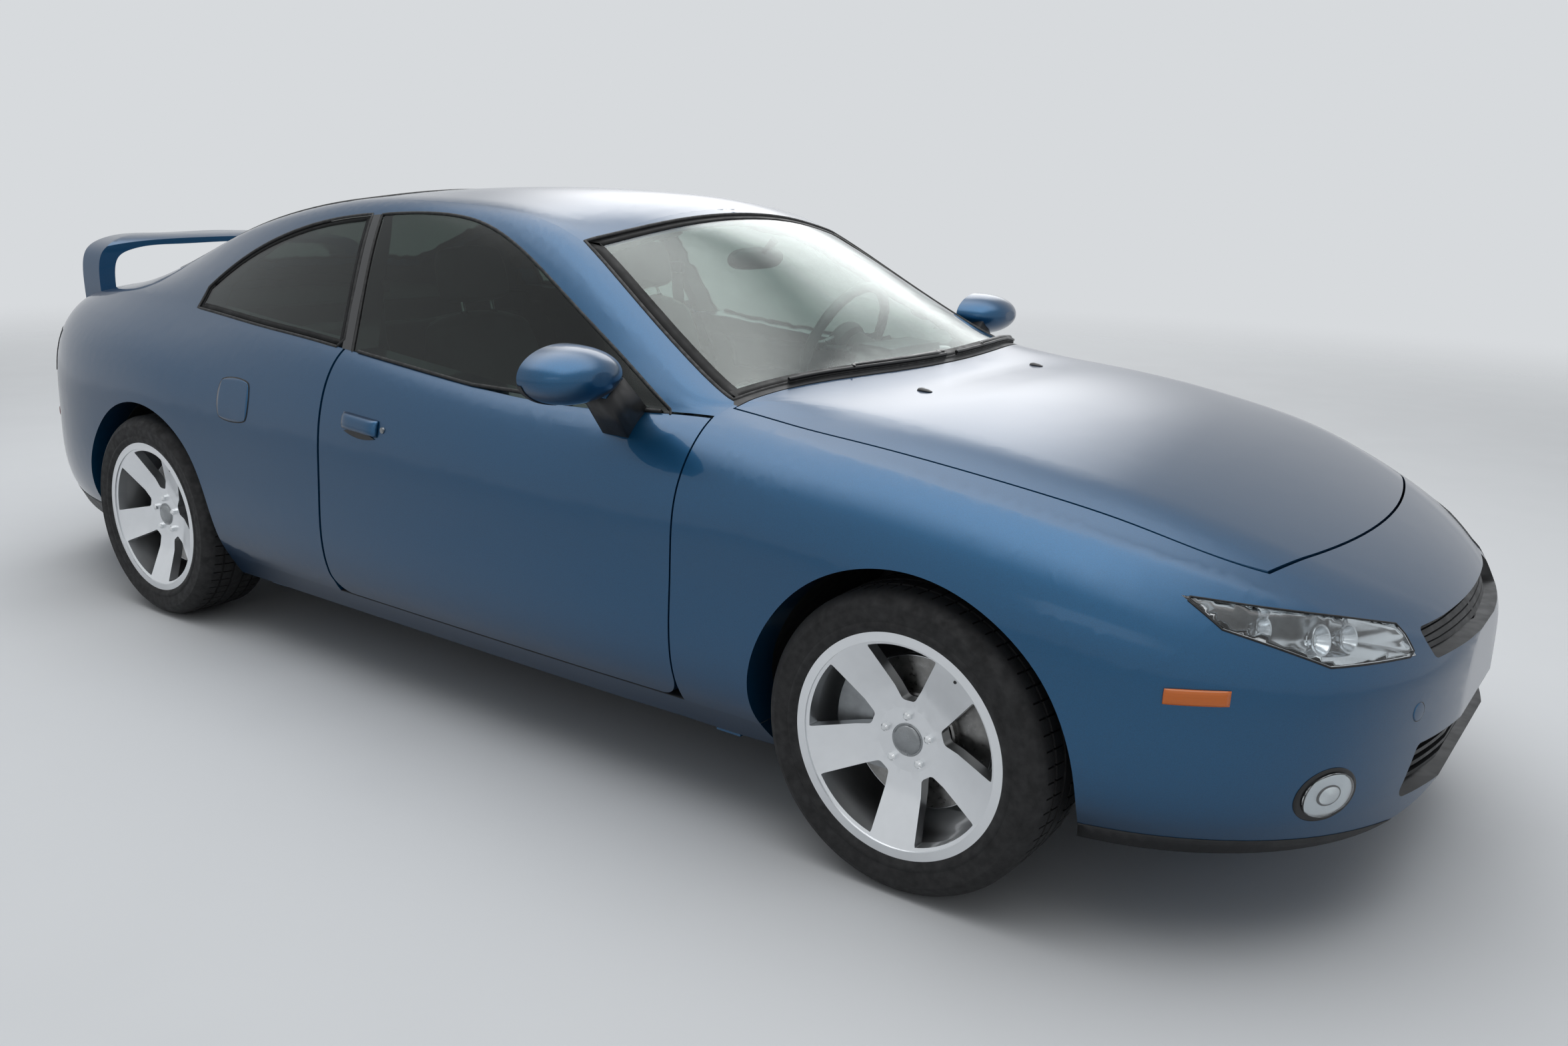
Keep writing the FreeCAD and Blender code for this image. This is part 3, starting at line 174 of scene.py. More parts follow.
def vary_roughness(tree, shader, where, size, low, high):
    cloud = add_node(tree, "ShaderNodeTexNoise", {"Vector": where, "Scale": 1 / size, "Detail": 5.0})
    span_node = add_node(
        tree, "ShaderNodeMapRange",
        {"Value": cloud.outputs["Fac"], "From Min": 0.35, "From Max": 0.65, "To Min": low, "To Max": high})
    tree.links.new(span_node.outputs["Result"], shader.inputs["Roughness"])


def emboss(tree, shader, height, depth, strength=1.0, after=None):
    """Bumps the surface by a height socket, its full range being depth in metres."""
    inputs = {"Height": height, "Distance": depth, "Strength": strength}
    if after is not None:
        inputs["Normal"] = after
    bump = add_node(tree, "ShaderNodeBump", inputs)
    tree.links.new(bump.outputs["Normal"], shader.inputs["Normal"])
    return bump.outputs["Normal"]


def pebble(tree, where, size):
    """Rounded cells of a real size, as leather and moulded grain have."""
    return add_node(
        tree, "ShaderNodeTexVoronoi", {"Vector": where, "Scale": 1 / size},
        feature="SMOOTH_F1").outputs["Distance"]


MATERIALS = {}


def metallic_paint(finish):
    """Sprayed base coat with aluminium flake under clear lacquer: bright face on and dark edge on."""
    material, tree, shader = new_finish(
        "metallic_clearcoat_paint", finish.paint, 0.34, Metallic=0.62,
        Coat_Weight=0.7, Coat_Roughness=0.03, Coat_IOR=1.5)
    where = object_coordinates(tree)
    # Real flake is under 0.1 mm; 1.1 mm is the finest that shows in the render
    flake = add_node(tree, "ShaderNodeTexVoronoi", {"Vector": where, "Scale": 1 / (1.1 * MM)})
    edge_on = add_node(tree, "ShaderNodeLayerWeight", {"Blend": 0.42})
    body = add_node(
        tree, "ShaderNodeMix",
        {"Factor": edge_on.outputs["Facing"], "A": tuple(finish.paint), "B": tuple(finish.paint_flop)},
        data_type="RGBA")
    sparkle = add_node(
        tree, "ShaderNodeMapRange",
        {"Value": flake.outputs["Distance"], "From Min": 0.1, "From Max": 0.7,
         "To Min": 1.22, "To Max": 0.86})
    scaled = add_node(
        tree, "ShaderNodeVectorMath", {0: body.outputs["Result"], 1: sparkle.outputs["Result"]},
        operation="MULTIPLY")
    tree.links.new(scaled.outputs["Vector"], shader.inputs["Base Color"])
    # Orange peel of the lacquer, about 9 mm from crest to crest
    peel = add_node(tree, "ShaderNodeTexNoise", {"Vector": where, "Scale": 1 / (9 * MM), "Detail": 1.0})
    emboss(tree, shader, peel.outputs["Fac"], 0.012 * MM)
    return material


def moulded(name, colour, grain=0.9 * MM, roughness=0.5, depth=0.04 * MM, patches=(0.86, 1.16), **sockets):
    """Injection-moulded plastic with the spark-eroded grain of its tool and faint scuffing."""
    material, tree, shader = new_finish(name, colour, roughness, **sockets)
    where = object_coordinates(tree)
    mottle(tree, shader, where, 60 * MM, *patches)
    vary_roughness(tree, shader, where, 35 * MM, roughness - 0.06, roughness + 0.08)
    emboss(tree, shader, pebble(tree, where, grain), depth)
    return material


def gloss_black():
    """Polished black acrylic, as on the door pillar: deep black with a hard reflection and a little dust."""
    material, tree, shader = new_finish(
        "gloss_black_acrylic", "08090b", 0.10, Coat_Weight=0.6, Coat_Roughness=0.04)
    where = object_coordinates(tree)
    mottle(tree, shader, where, 4 * MM, 1.0, 2.2, (0.45, 0.8))
    vary_roughness(tree, shader, where, 50 * MM, 0.06, 0.16)
    return material


def weather_seal():
    """Extruded EPDM rubber: matt black, slightly chalky where it has aged."""
    material, tree, shader = new_finish("extruded_rubber_seal", "0d0e0f", 0.62)
    where = object_coordinates(tree)
    mottle(tree, shader, where, 22 * MM, 0.8, 1.7)
    vary_roughness(tree, shader, where, 12 * MM, 0.5, 0.75)
    grit = add_node(tree, "ShaderNodeTexNoise", {"Vector": where, "Scale": 1 / (1.2 * MM)})
    emboss(tree, shader, grit.outputs["Fac"], 0.06 * MM)
    return material


def mix_surface(tree, share, shader, clear):
    """Makes the surface a mix of a material's own shader and a clear one."""
    mix = add_node(
        tree, "ShaderNodeMixShader", {0: share, 1: shader.outputs["BSDF"], 2: clear.outputs["BSDF"]})
    tree.links.new(mix.outputs["Shader"], tree.nodes["Material Output"].inputs["Surface"])


def lit_through(tree, shader, colour):
    """Lets lamp light go straight through, so that what is behind is lit as through real glass."""
    clear = add_node(tree, "ShaderNodeBsdfTransparent", {"Color": linear(colour)})
    path = add_node(tree, "ShaderNodeLightPath")
    straight = add_node(
        tree, "ShaderNodeMath",
        {0: path.outputs["Is Shadow Ray"], 1: path.outputs["Is Diffuse Ray"]}, operation="MAXIMUM")
    mix_surface(tree, straight.outputs[0], shader, clear)


def window_glass(name, tint, ior=1.5):
    """Float glass tinted in the melt: clear, slightly cloudy with dust, mirror-like at a low angle."""
    material, tree, shader = new_finish(name, tint, 0.0, Transmission_Weight=1.0, IOR=ior)
    mottle(tree, shader, object_coordinates(tree), 70 * MM, 0.96, 1.0)
    lit_through(tree, shader, tint)
    return material


def lens(name, colour, rib=0.0, roughness=0.02, clear=1.0):
    """Moulded polycarbonate or acrylic lamp lens, hard coated, with optical ribs where rib is over 0."""
    material, tree, shader = new_finish(
        name, colour, roughness, Transmission_Weight=clear, IOR=1.49, Coat_Weight=0.3)
    where = object_coordinates(tree)
    vary_roughness(tree, shader, where, 40 * MM, roughness, roughness + 0.03)
    if rib:
        wave = add_node(
            tree, "ShaderNodeTexWave", {"Vector": where, "Scale": 0.314 / rib},
            wave_type="BANDS", bands_direction="Z")
        emboss(tree, shader, wave.outputs["Fac"], 0.12 * MM)
    lit_through(tree, shader, colour)
    return material


def metal(name, colour, roughness, spread=0.06, grain=2 * MM, depth=0.02 * MM, coat=0.0, patches=(0.9, 1.08)):
    """A metal with the fine unevenness of its last process."""
    material, tree, shader = new_finish(name, colour, roughness, Metallic=1.0, Coat_Weight=coat)
    where = object_coordinates(tree)
    mottle(tree, shader, where, 30 * MM, *patches)
    vary_roughness(tree, shader, where, 18 * MM, max(0.02, roughness - spread), roughness + spread)
    grit = add_node(tree, "ShaderNodeTexNoise", {"Vector": where, "Scale": 1 / grain, "Detail": 3.0})
    emboss(tree, shader, grit.outputs["Fac"], depth)
    return material


def brake_iron():
    """Grey cast iron turned and swept by the pads: bright, in faint uneven patches."""
    material, tree, shader = new_finish("swept_cast_iron", "8b8a88", 0.34, Metallic=1.0)
    where = object_coordinates(tree)
    mottle(tree, shader, where, 25 * MM, 0.75, 1.05)
    vary_roughness(tree, shader, where, 9 * MM, 0.26, 0.42)
    return material


def tyre_rubber():
    """Vulcanised rubber: near-black with grey road dust in its grain."""
    material, tree, shader = new_finish("vulcanised_tyre_rubber", "1b1b1c", 0.78)
    where = object_coordinates(tree)
    mottle(tree, shader, where, 45 * MM, 0.75, 1.7, (0.4, 0.75))
    vary_roughness(tree, shader, where, 20 * MM, 0.68, 0.9)
    grit = add_node(tree, "ShaderNodeTexNoise", {"Vector": where, "Scale": 1 / (1.5 * MM), "Detail": 4.0})
    emboss(tree, shader, grit.outputs["Fac"], 0.15 * MM)
    return material


def seat_leather(name, colour, roughness=0.46):
    """Pigmented cowhide: pebbled grain about 1.6 mm across, soft sheen, darker in its creases."""
    material, tree, shader = new_finish(
        name, colour, roughness, Sheen_Weight=0.08, Coat_Weight=0.08, Coat_Roughness=0.4)
    where = object_coordinates(tree)
    cells = pebble(tree, where, 1.6 * MM)
    mottle(tree, shader, where, 90 * MM, 0.8, 1.18)
    vary_roughness(tree, shader, where, 50 * MM, roughness - 0.08, roughness + 0.1)
    wrinkles = add_node(tree, "ShaderNodeTexNoise", {"Vector": where, "Scale": 1 / (28 * MM), "Detail": 3.0})
    first = emboss(tree, shader, wrinkles.outputs["Fac"], 1.2 * MM, 0.5)
    emboss(tree, shader, cells, 0.1 * MM, 0.8, first)
    return material


def carpet(finish):
    """Needle-punched polyester carpet: 2 mm tufts, no gloss."""
    material, tree, shader = new_finish("needle_punched_carpet", finish.carpet, 0.95, Sheen_Weight=0.2)
    where = object_coordinates(tree)
    mottle(tree, shader, where, 3 * MM, 0.6, 1.7)
    tuft = add_node(tree, "ShaderNodeTexNoise", {"Vector": where, "Scale": 1 / (2 * MM), "Detail": 2.0})
    emboss(tree, shader, tuft.outputs["Fac"], 1.0 * MM)
    return material


def headliner(finish):
    """Brushed knit cloth bonded to foam: pale grey with a 1.2 mm weave."""
    material, tree, shader = new_finish("brushed_headliner_cloth", finish.cabin_light, 0.9, Sheen_Weight=0.3)
    where = object_coordinates(tree)
    mottle(tree, shader, where, 5 * MM, 0.88, 1.1)
    weave = add_node(
        tree, "ShaderNodeTexChecker", {"Vector": where, "Scale": 1 / (1.2 * MM)})
    emboss(tree, shader, weave.outputs["Fac"], 0.2 * MM)
    return material


def lit_panel(name, colour, strength):
    """A dial face that glows faintly."""
    material, tree, shader = new_finish(name, colour, 0.3, Emission_Strength=strength)
    shader.inputs["Emission Color"].default_value = linear(colour)
    mottle(tree, shader, object_coordinates(tree), 8 * MM, 0.9, 1.08)
    return material


def make_materials(finish):
    """Every finish of the car, by the plain name that the pieces use."""
    MATERIALS.update(
        paint=metallic_paint(finish),
        underbody=moulded("sprayed_underbody_coating", "1d1e20", 4 * MM, 0.8, 0.4 * MM),
        trim=moulded("grained_polypropylene_trim", finish.trim),
        satin_black=moulded("satin_black_plastic", "101113", 0.6 * MM, 0.34, 0.03 * MM),
        gloss_black=gloss_black(),
        seal=weather_seal(),
        windscreen=window_glass("laminated_green_glass", "dcece6"),
        side_glass=window_glass("toughened_tinted_glass", "7c8a84", 1.36),
        clear_lens=lens("hard_coated_polycarbonate", "f2f5f6"),
        red_lens=lens("red_acrylic_lens", "b80d14", 9 * MM, 0.04, 0.75),
        amber_lens=lens("amber_acrylic_lens", "e07818", 5 * MM, 0.05, 0.25),
        reflector=metal("aluminised_reflector", "d9dde0", 0.2, 0.03, 8 * MM, 0.002 * MM, 0.0, (0.97, 1.02)),
        chrome=metal("bright_chrome_plate", "e3e5e6", 0.05, 0.02, 12 * MM, 0.005 * MM),
        alloy=metal(
            "lacquered_cast_alloy", finish.alloy, 0.32, 0.015, 1.2 * MM, 0.001 * MM, 0.4, (0.985, 1.01)),
        raw_alloy=metal("cast_aluminium", "9c9fa1", 0.48, 0.08, 1.6 * MM, 0.2 * MM),
        iron=metal("sand_cast_iron", "3d3c3b", 0.62, 0.1, 2.5 * MM, 0.5 * MM),
        brake=brake_iron(),
        steel=metal("brushed_stainless_steel", "b9bab9", 0.26, 0.08, 1.5 * MM, 0.04 * MM),
        zinc=metal("zinc_plated_steel", "a7a9a6", 0.35, 0.08, 3 * MM, 0.03 * MM),
        tyre=tyre_rubber(),
        leather=seat_leather("pebbled_cowhide", finish.leather),
        thread=moulded("stitching_thread", "8d8f91", 0.5 * MM, 0.8, 0.1 * MM),
        soft_panel=moulded("slush_moulded_dashboard_skin", finish.cabin, 1.4 * MM, 0.62, 0.06 * MM),
        hard_panel=moulded("grained_cabin_plastic", "2a2b2d", 1.0 * MM, 0.52, 0.035 * MM),
        satin_metal=metal("satin_painted_trim", "8f9294", 0.3, 0.05, 1 * MM, 0.01 * MM, 0.3),
        carpet=carpet(finish),
        headliner=headliner(finish),
        glass_print=moulded("ceramic_print_under_glass", "08090a", 0.5 * MM, 0.42, 0.005 * MM, IOR=1.2),
        tank=moulded("translucent_tank_plastic", "d9dad6", 0.8 * MM, 0.35, 0.02 * MM, (0.97, 1.02)),
        dial=lit_panel("dial_face", "d8dde0", 0.25),
        screen=moulded("coated_display_glass", "0b0f14", 3 * MM, 0.12, 0.005 * MM),
        mirror=metal("silvered_mirror_glass", "e8ecee", 0.02, 0.01, 40 * MM, 0.002 * MM),
    )


# Mesh building


def cad_copy(*names):
    """A bmesh of CAD nodes with their loose triangles joined."""
    bm = bmesh.new()
    for name in names:
        bm.from_mesh(NODES[name].data)
    bmesh.ops.remove_doubles(bm, verts=bm.verts, dist=0.02 * MM)
    return bm


TREES = {}


def surface(*names):
    """A search tree over CAD nodes, for laying pieces on them."""
    if names not in TREES:
        bm = cad_copy(*names)
        TREES[names] = BVHTree.FromBMesh(bm)
        bm.free()
    return TREES[names]


def lay_on(points, way, tree, lift=0.0):
    """The points moved along way onto a surface, or its nearest place, and lift metres off it."""
    way = Vector(way).normalized()
    laid = []
    for p in points:
        hit, normal, _, _ = tree.ray_cast(Vector(p) - way * 2.0, way)
        if hit is None:
            hit, normal, _, _ = tree.find_nearest(Vector(p))
        laid.append(hit - way * lift)
    return laid


def finished(bm, name, materials, body, smooth=35.0, recalc=False):
    """Turns a bmesh into a piece that rides on a body."""
    if recalc:
        bmesh.ops.recalc_face_normals(bm, faces=bm.faces)
    mesh = bpy.data.meshes.new(name)
    bm.to_mesh(mesh)
    bm.free()
    for key in materials if isinstance(materials, (list, tuple)) else [materials]:
        mesh.materials.append(MATERIALS[key])
    mesh.shade_smooth()
    mesh.set_sharp_from_angle(angle=math.radians(smooth))
    piece = bpy.data.objects.new(name, mesh)
    bpy.context.scene.collection.objects.link(piece)
    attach(piece, body)
    return piece


def rounded(piece, width, segments=3, angle=30.0):
    """Adds a live bevel along a piece's hard edges."""
    modifier = piece.modifiers.new("edge rounding", "BEVEL")
    modifier.width = width
    modifier.segments = segments
    modifier.limit_method = "ANGLE"
    modifier.angle_limit = math.radians(angle)
    modifier.harden_normals = False
    return piece


def thickened(piece, thickness, offset=-1.0):
    modifier = piece.modifiers.new("wall", "SOLIDIFY")
    modifier.thickness = thickness
    modifier.offset = offset
    return piece


def subdivided(piece, levels=2):
    modifier = piece.modifiers.new("subdivision", "SUBSURF")
    modifier.levels = levels
    modifier.render_levels = levels
    return piece


def block(bm, low, high, material=0):
    """A box between two corners."""
    low, high = Vector(low), Vector(high)
    made = bmesh.ops.create_cube(bm, size=1.0)["verts"]
    bmesh.ops.scale(bm, vec=high - low, verts=made)
    bmesh.ops.translate(bm, vec=(low + high) / 2, verts=made)
    for face in {f for v in made for f in v.link_faces}:
        face.material_index = material
    return made


def rod(bm, start, end, radius, radius_end=None, segments=16, material=0):
    """A round bar or cone between two points."""
    start, end = Vector(start), Vector(end)
    made = bmesh.ops.create_cone(
        bm, cap_ends=True, cap_tris=False, segments=segments, radius1=radius,
        radius2=radius if radius_end is None else radius_end, depth=(end - start).length)["verts"]
    turn = (end - start).to_track_quat("Z", "Y").to_matrix().to_4x4()
    bmesh.ops.transform(bm, matrix=Matrix.Translation((start + end) / 2) @ turn, verts=made)
    for face in {f for v in made for f in v.link_faces}:
        face.material_index = material
    return made


def around(count):
    """Evenly spaced angles round a full turn."""
    return [math.tau * k / count for k in range(count)]


def turned(bm, profile, centre, axis, steps=48, closed=True, material=0):
    """Spins a profile of (radius, distance along the axis) round an axis."""
    axis = Vector(axis).normalized()
    out = axis.orthogonal().normalized()
    centre = Vector(centre)
    verts = [bm.verts.new(centre + out * r + axis * d) for r, d in profile]
    pairs = list(zip(verts, verts[1:])) + ([(verts[-1], verts[0])] if closed else [])
    edges = [bm.edges.new(pair) for pair in pairs]
    known = set(bm.faces)
    bmesh.ops.spin(
        bm, geom=verts + edges, cent=centre, axis=axis, angle=math.tau, steps=steps, use_merge=True)
    bmesh.ops.remove_doubles(bm, verts=bm.verts, dist=0.01 * MM)
    made = [f for f in bm.faces if f not in known]
    for face in made:
        face.material_index = material
    return made


def bridged(bm, rings, cap=True, cyclic=True, material=0):
    """Joins rings of equal point counts into a skin, and closes both ends."""
    loops = []
    known = set(bm.faces)
    for ring in rings:
        verts = [bm.verts.new(p) for p in ring]
        pairs = list(zip(verts, verts[1:])) + ([(verts[-1], verts[0])] if cyclic else [])
        loops.append([bm.edges.new(pair) for pair in pairs])
    for first, second in zip(loops, loops[1:]):
        bmesh.ops.bridge_loops(bm, edges=first + second)
    if cap and cyclic:
        for loop in (loops[0], loops[-1]):
            bmesh.ops.contextual_create(bm, geom=loop)
    made = [f for f in bm.faces if f not in known]
    for face in made:
        face.material_index = material
    return made


def lathe(name, profile, centre, axis, material, body, steps=48, closed=False):
    """A piece turned from one profile, open at its ends unless closed."""
    bm = bmesh.new()
    turned(bm, profile, centre, axis, steps, closed)
    return finished(bm, name, material, body, recalc=True)


def skinned(name, rings, material, body, cap=True, smooth=35.0):
    """A piece skinned over rings of points."""
    bm = bmesh.new()
    bridged(bm, rings, cap)
    return finished(bm, name, material, body, smooth, recalc=True)


def boxed(name, materials, slot, width, segments, *boxes):
    """A rounded piece of boxes on the body, each given as two corners and its material's number."""
    bm = bmesh.new()
    for box in boxes:
        block(bm, *box)
    return rounded(finished(bm, name, materials, ROOT), width, segments)


def eased(points, cyclic):
    """A line without the points at which it doubles back or stands still."""
    kept = list(points)
    k = 0 if cyclic else 1
    while k < len(kept) - (0 if cyclic else 1):
        before, after = kept[k] - kept[k - 1], kept[(k + 1) % len(kept)] - kept[k]
        if before.length < 1.5 * MM or before.dot(after) < -0.1 * before.length * after.length:
            kept.pop(k)
            k = max(0 if cyclic else 1, k - 1)
        else:
            k += 1
    return kept


def tube(name, points, radius, material, body, cyclic=False, resolution=2, smooth_line=False):
    """A round strip along a line of points, as a mesh."""
    curve = bpy.data.curves.new(name, "CURVE")
    curve.dimensions = "3D"
    curve.bevel_depth = radius
    curve.bevel_resolution = resolution
    curve.use_fill_caps = True
    points = eased([Vector(p) for p in points], cyclic)
    spline = curve.splines.new("NURBS" if smooth_line else "POLY")
    spline.points.add(len(points) - 1)
    for point, place in zip(spline.points, points):
        point.co = (*place, 1.0)
    if smooth_line:
        spline.order_u = 3
        spline.use_endpoint_u = True
    spline.use_cyclic_u = cyclic
    holder = bpy.data.objects.new(name, curve)
    bpy.context.scene.collection.objects.link(holder)
    bpy.context.view_layer.update()
    mesh = bpy.data.meshes.new_from_object(holder)
    bpy.data.objects.remove(holder)
    bm = bmesh.new()
    bm.from_mesh(mesh)
    bpy.data.meshes.remove(mesh)
    if not cyclic:
        bmesh.ops.remove_doubles(bm, verts=bm.verts, dist=0.01 * MM)
    return finished(bm, name, material, body, 60.0)


def thinned(points, least):
    """A line's points at least so far apart."""
    kept = [points[0]]
    for p in points[1:]:
        if (p - kept[-1]).length >= least:
            kept.append(p)
    return kept


def rim_lines(name, way, least=0.6, angle=40.0):
    """Closed lines along the hard edges of a CAD node's face that looks along way."""
    bm = cad_copy(name)
    way = Vector(way).normalized()
    hard = set()
    for edge in bm.edges:
        if len(edge.link_faces) != 2 or edge.calc_face_angle(0.0) < math.radians(angle):
            continue
        looks = sorted(f.normal.dot(way) for f in edge.link_faces)
        if looks[1] > least and looks[0] < least:
            hard.add(edge)
    lines = []
    while hard:
        edge = hard.pop()
        line = [edge.verts[0], edge.verts[1]]
        for grow_end in (True, False):
            while True:
                tip = line[-1] if grow_end else line[0]
                following = next((e for e in tip.link_edges if e in hard), None)
                if following is None:
                    break
                hard.discard(following)
                nearest = following.other_vert(tip)
                line.insert(len(line) if grow_end else 0, nearest)
        lines.append([v.co.copy() for v in line])
    bm.free()
    return sorted(lines, key=len, reverse=True)


def on_node(name, key):
    """Gives a CAD node its material."""
    node = NODES[name]
    if node.material_slots:
        for place in node.material_slots:
            place.material = MATERIALS[key]
    else:
        node.data.materials.append(MATERIALS[key])


def smoothing_tree():
    """Geometry nodes that join a CAD node's loose triangles and shade them smooth up to 30 degrees."""
    tree = bpy.data.node_groups.new("join and smooth", "GeometryNodeTree")
    tree.interface.new_socket("Geometry", in_out="INPUT", socket_type="NodeSocketGeometry")
    tree.interface.new_socket("Geometry", in_out="OUTPUT", socket_type="NodeSocketGeometry")
    start = add_node(tree, "NodeGroupInput")
    joined = add_node(
        tree, "GeometryNodeMergeByDistance",
        {"Geometry": start.outputs["Geometry"], "Distance": 0.02 * MM})
    whole = add_node(
        tree, "GeometryNodeSetShadeSmooth",
        {"Geometry": joined.outputs["Geometry"], "Shade Smooth": True}, domain="FACE")
    fold = add_node(tree, "GeometryNodeInputMeshEdgeAngle")
    hard = add_node(
        tree, "FunctionNodeCompare",
        {0: fold.outputs["Unsigned Angle"], 1: math.radians(30)}, operation="GREATER_THAN")
    edged = add_node(
        tree, "GeometryNodeSetShadeSmooth",
        {"Geometry": whole.outputs["Geometry"], "Selection": hard.outputs["Result"], "Shade Smooth": False},
        domain="EDGE")
    add_node(tree, "NodeGroupOutput", {"Geometry": edged.outputs["Geometry"]})
    return tree


NODE_FINISH = {
    "paint": (
        "hood deck_lid door_left door_right fender_left fender_right front_bumper rear_bumper quarter_left "
        "quarter_right roof_panel roof_rails sills mirror_left mirror_right spoiler").split(),
    "underbody": "floor_pan firewall rear_bulkhead".split(),
    "trim": "cowl_panel arch_liners grille".split(),
    "gloss_black": ["b_pillars"],
    "windscreen": ["windscreen"],
    "side_glass": "backlight quarter_glass door_glass_left door_glass_right".split(),
    "alloy": "rim_fl rim_fr rim_rl rim_rr".split(),
    "raw_alloy": "engine_block knuckle_fl knuckle_fr".split(),
    "iron": "front_subframe rear_subframe".split(),
    "steel": "exhaust tow_socket".split(),
}


class COUPE_OT_frame(bpy.types.Operator):
    """Paints and smooths the panels, glass and metal of the CAD frame"""

    bl_idname = "coupe.frame"
    bl_label = "Panels and glass"

    def execute(self, context):
        make_materials(finish_of(context))
        smoothing = smoothing_tree()
        for key, names in NODE_FINISH.items():
            for name in names:
                on_node(name, key)
        for node in NODES.values():
            modifier = node.modifiers.new("join and smooth", "NODES")
            modifier.node_group = smoothing
            weighted = node.modifiers.new("even shading", "WEIGHTED_NORMAL")
            weighted.keep_sharp = True
        return {"FINISHED"}


class COUPE_OT_stage(bpy.types.Operator):
    """Sets the camera, the lamps and the pale floor"""

    bl_idname = "coupe.stage"
    bl_label = "Stage"

    def execute(self, context):
        scene = context.scene
        scene.view_settings.view_transform = "Standard"
        self.set_camera(scene)
        self.set_world(scene)
        self.set_lamps(scene)
        self.lay_floor(scene)
        return {"FINISHED"}

    def set_camera(self, scene):
        """Stands the camera ahead of the car's right front wheel, just over roof height, looking back."""
        yaw, pitch, roll = (math.radians(a) for a in (125.86, 14.85, 1.31))
        ahead = Vector((math.cos(yaw) * math.cos(pitch), math.sin(yaw) * math.cos(pitch), -math.sin(pitch)))
        level = Vector((math.sin(yaw), -math.cos(yaw), 0.0))
        above = level.cross(ahead)
        right = level * math.cos(roll) + above * math.sin(roll)
        up = above * math.cos(roll) - level * math.sin(roll)
        data = bpy.data.cameras.new("camera")
        data.lens = 30.23
        data.sensor_width = 36.0
        data.clip_start = 0.05
        camera = bpy.data.objects.new("camera", data)
        axes = Matrix((right, up, -ahead)).transposed().to_4x4()
        camera.matrix_world = Matrix.Translation((2.746, -3.005, 1.434)) @ axes
        scene.collection.objects.link(camera)
        scene.camera = camera

    def set_world(self, scene):
        """Soft even light, with a plain pale backdrop for the camera, mirrors and glass."""
        world = bpy.data.worlds.new("studio")
        world.use_nodes = True
        tree = world.node_tree
        light = tree.nodes["Background"]
        light.inputs["Color"].default_value = linear("f4f6f8")
        light.inputs["Strength"].default_value = 0.32
        shown = add_node(tree, "ShaderNodeBackground", {"Color": linear("d7dadd"), "Strength": 1.0})
        path = add_node(tree, "ShaderNodeLightPath")
        direct = add_node(
            tree, "ShaderNodeMath",
            {0: path.outputs["Is Camera Ray"], 1: path.outputs["Is Glossy Ray"]}, operation="MAXIMUM")
        seen = add_node(
            tree, "ShaderNodeMath",
            {0: direct.outputs[0], 1: path.outputs["Is Transmission Ray"]}, operation="MAXIMUM")
        mix = add_node(
            tree, "ShaderNodeMixShader",
            {0: seen.outputs[0], 1: light.outputs[0], 2: shown.outputs[0]})
        tree.links.new(mix.outputs[0], tree.nodes["World Output"].inputs["Surface"])
        scene.world = world

    def set_lamps(self, scene):
        """A ceiling of soft light and two long side panels, each fading out towards its edges."""
        for name, place, target, size, power in (
            ("overhead", (0.0, 0.0, 6.5), (0.0, 0.0, 0.6), (15.0, 11.0), 1000.0),
            ("near_side", (4.5, -7.5, 4.2), (0.6, 0.0, 0.6), (7.0, 2.6), 30.0),
            ("far_side", (-4.4, 8.0, 5.4), (-0.4, 0.0, 0.7), (9.5, 8.0), 440.0),
        ):
            data = bpy.data.lights.new(name, "AREA")
            data.shape = "RECTANGLE"
            data.size, data.size_y = size
            data.energy = power
            data.use_nodes = True
            tree = data.node_tree
            spot = add_node(tree, "ShaderNodeNewGeometry").outputs["Parametric"]
            across = add_node(tree, "ShaderNodeSeparateXYZ", {"Vector": spot})
            shares = []
            for axis in ("X", "Y"):
                off = add_node(
                    tree, "ShaderNodeMath", {0: across.outputs[axis], 1: 0.5}, operation="SUBTRACT")
                far = add_node(tree, "ShaderNodeMath", {0: off.outputs[0]}, operation="ABSOLUTE")
                shares.append(add_node(
                    tree, "ShaderNodeMapRange",
                    {"Value": far.outputs[0], "From Min": 0.2, "From Max": 0.5, "To Min": 1.0, "To Max": 0.0},
                    interpolation_type="SMOOTHSTEP").outputs["Result"])
            both = add_node(tree, "ShaderNodeMath", {0: shares[0], 1: shares[1]}, operation="MULTIPLY")
            tree.links.new(both.outputs[0], tree.nodes["Emission"].inputs["Strength"])
            lamp = bpy.data.objects.new(name, data)
            lamp.location = place
            lamp.rotation_euler = (Vector(target) - Vector(place)).to_track_quat("-Z", "Y").to_euler()
            scene.collection.objects.link(lamp)

    def lay_floor(self, scene):
        """A pale painted floor that fades into the backdrop some metres from the car."""
        bm = bmesh.new()
        bmesh.ops.create_circle(bm, cap_ends=True, segments=96, radius=14.0)
        mesh = bpy.data.meshes.new("floor")
        bm.to_mesh(mesh)
        bm.free()
        material, tree, shader = new_finish("painted_studio_floor", "cfd2d5", 0.7)
        where = object_coordinates(tree)
        vary_roughness(tree, shader, where, 0.4, 0.6, 0.8)
        away = add_node(tree, "ShaderNodeVectorMath", {0: where}, operation="LENGTH")
        fade = add_node(
            tree, "ShaderNodeMapRange",
            {"Value": away.outputs["Value"], "From Min": 4.5, "From Max": 12.0, "To Min": 0.0, "To Max": 1.0},
            interpolation_type="SMOOTHSTEP")
        clear = add_node(tree, "ShaderNodeBsdfTransparent")
        mix_surface(tree, fade.outputs["Result"], shader, clear)
        mesh.materials.append(material)
        floor = bpy.data.objects.new("floor", mesh)
        scene.collection.objects.link(floor)


# Wheels

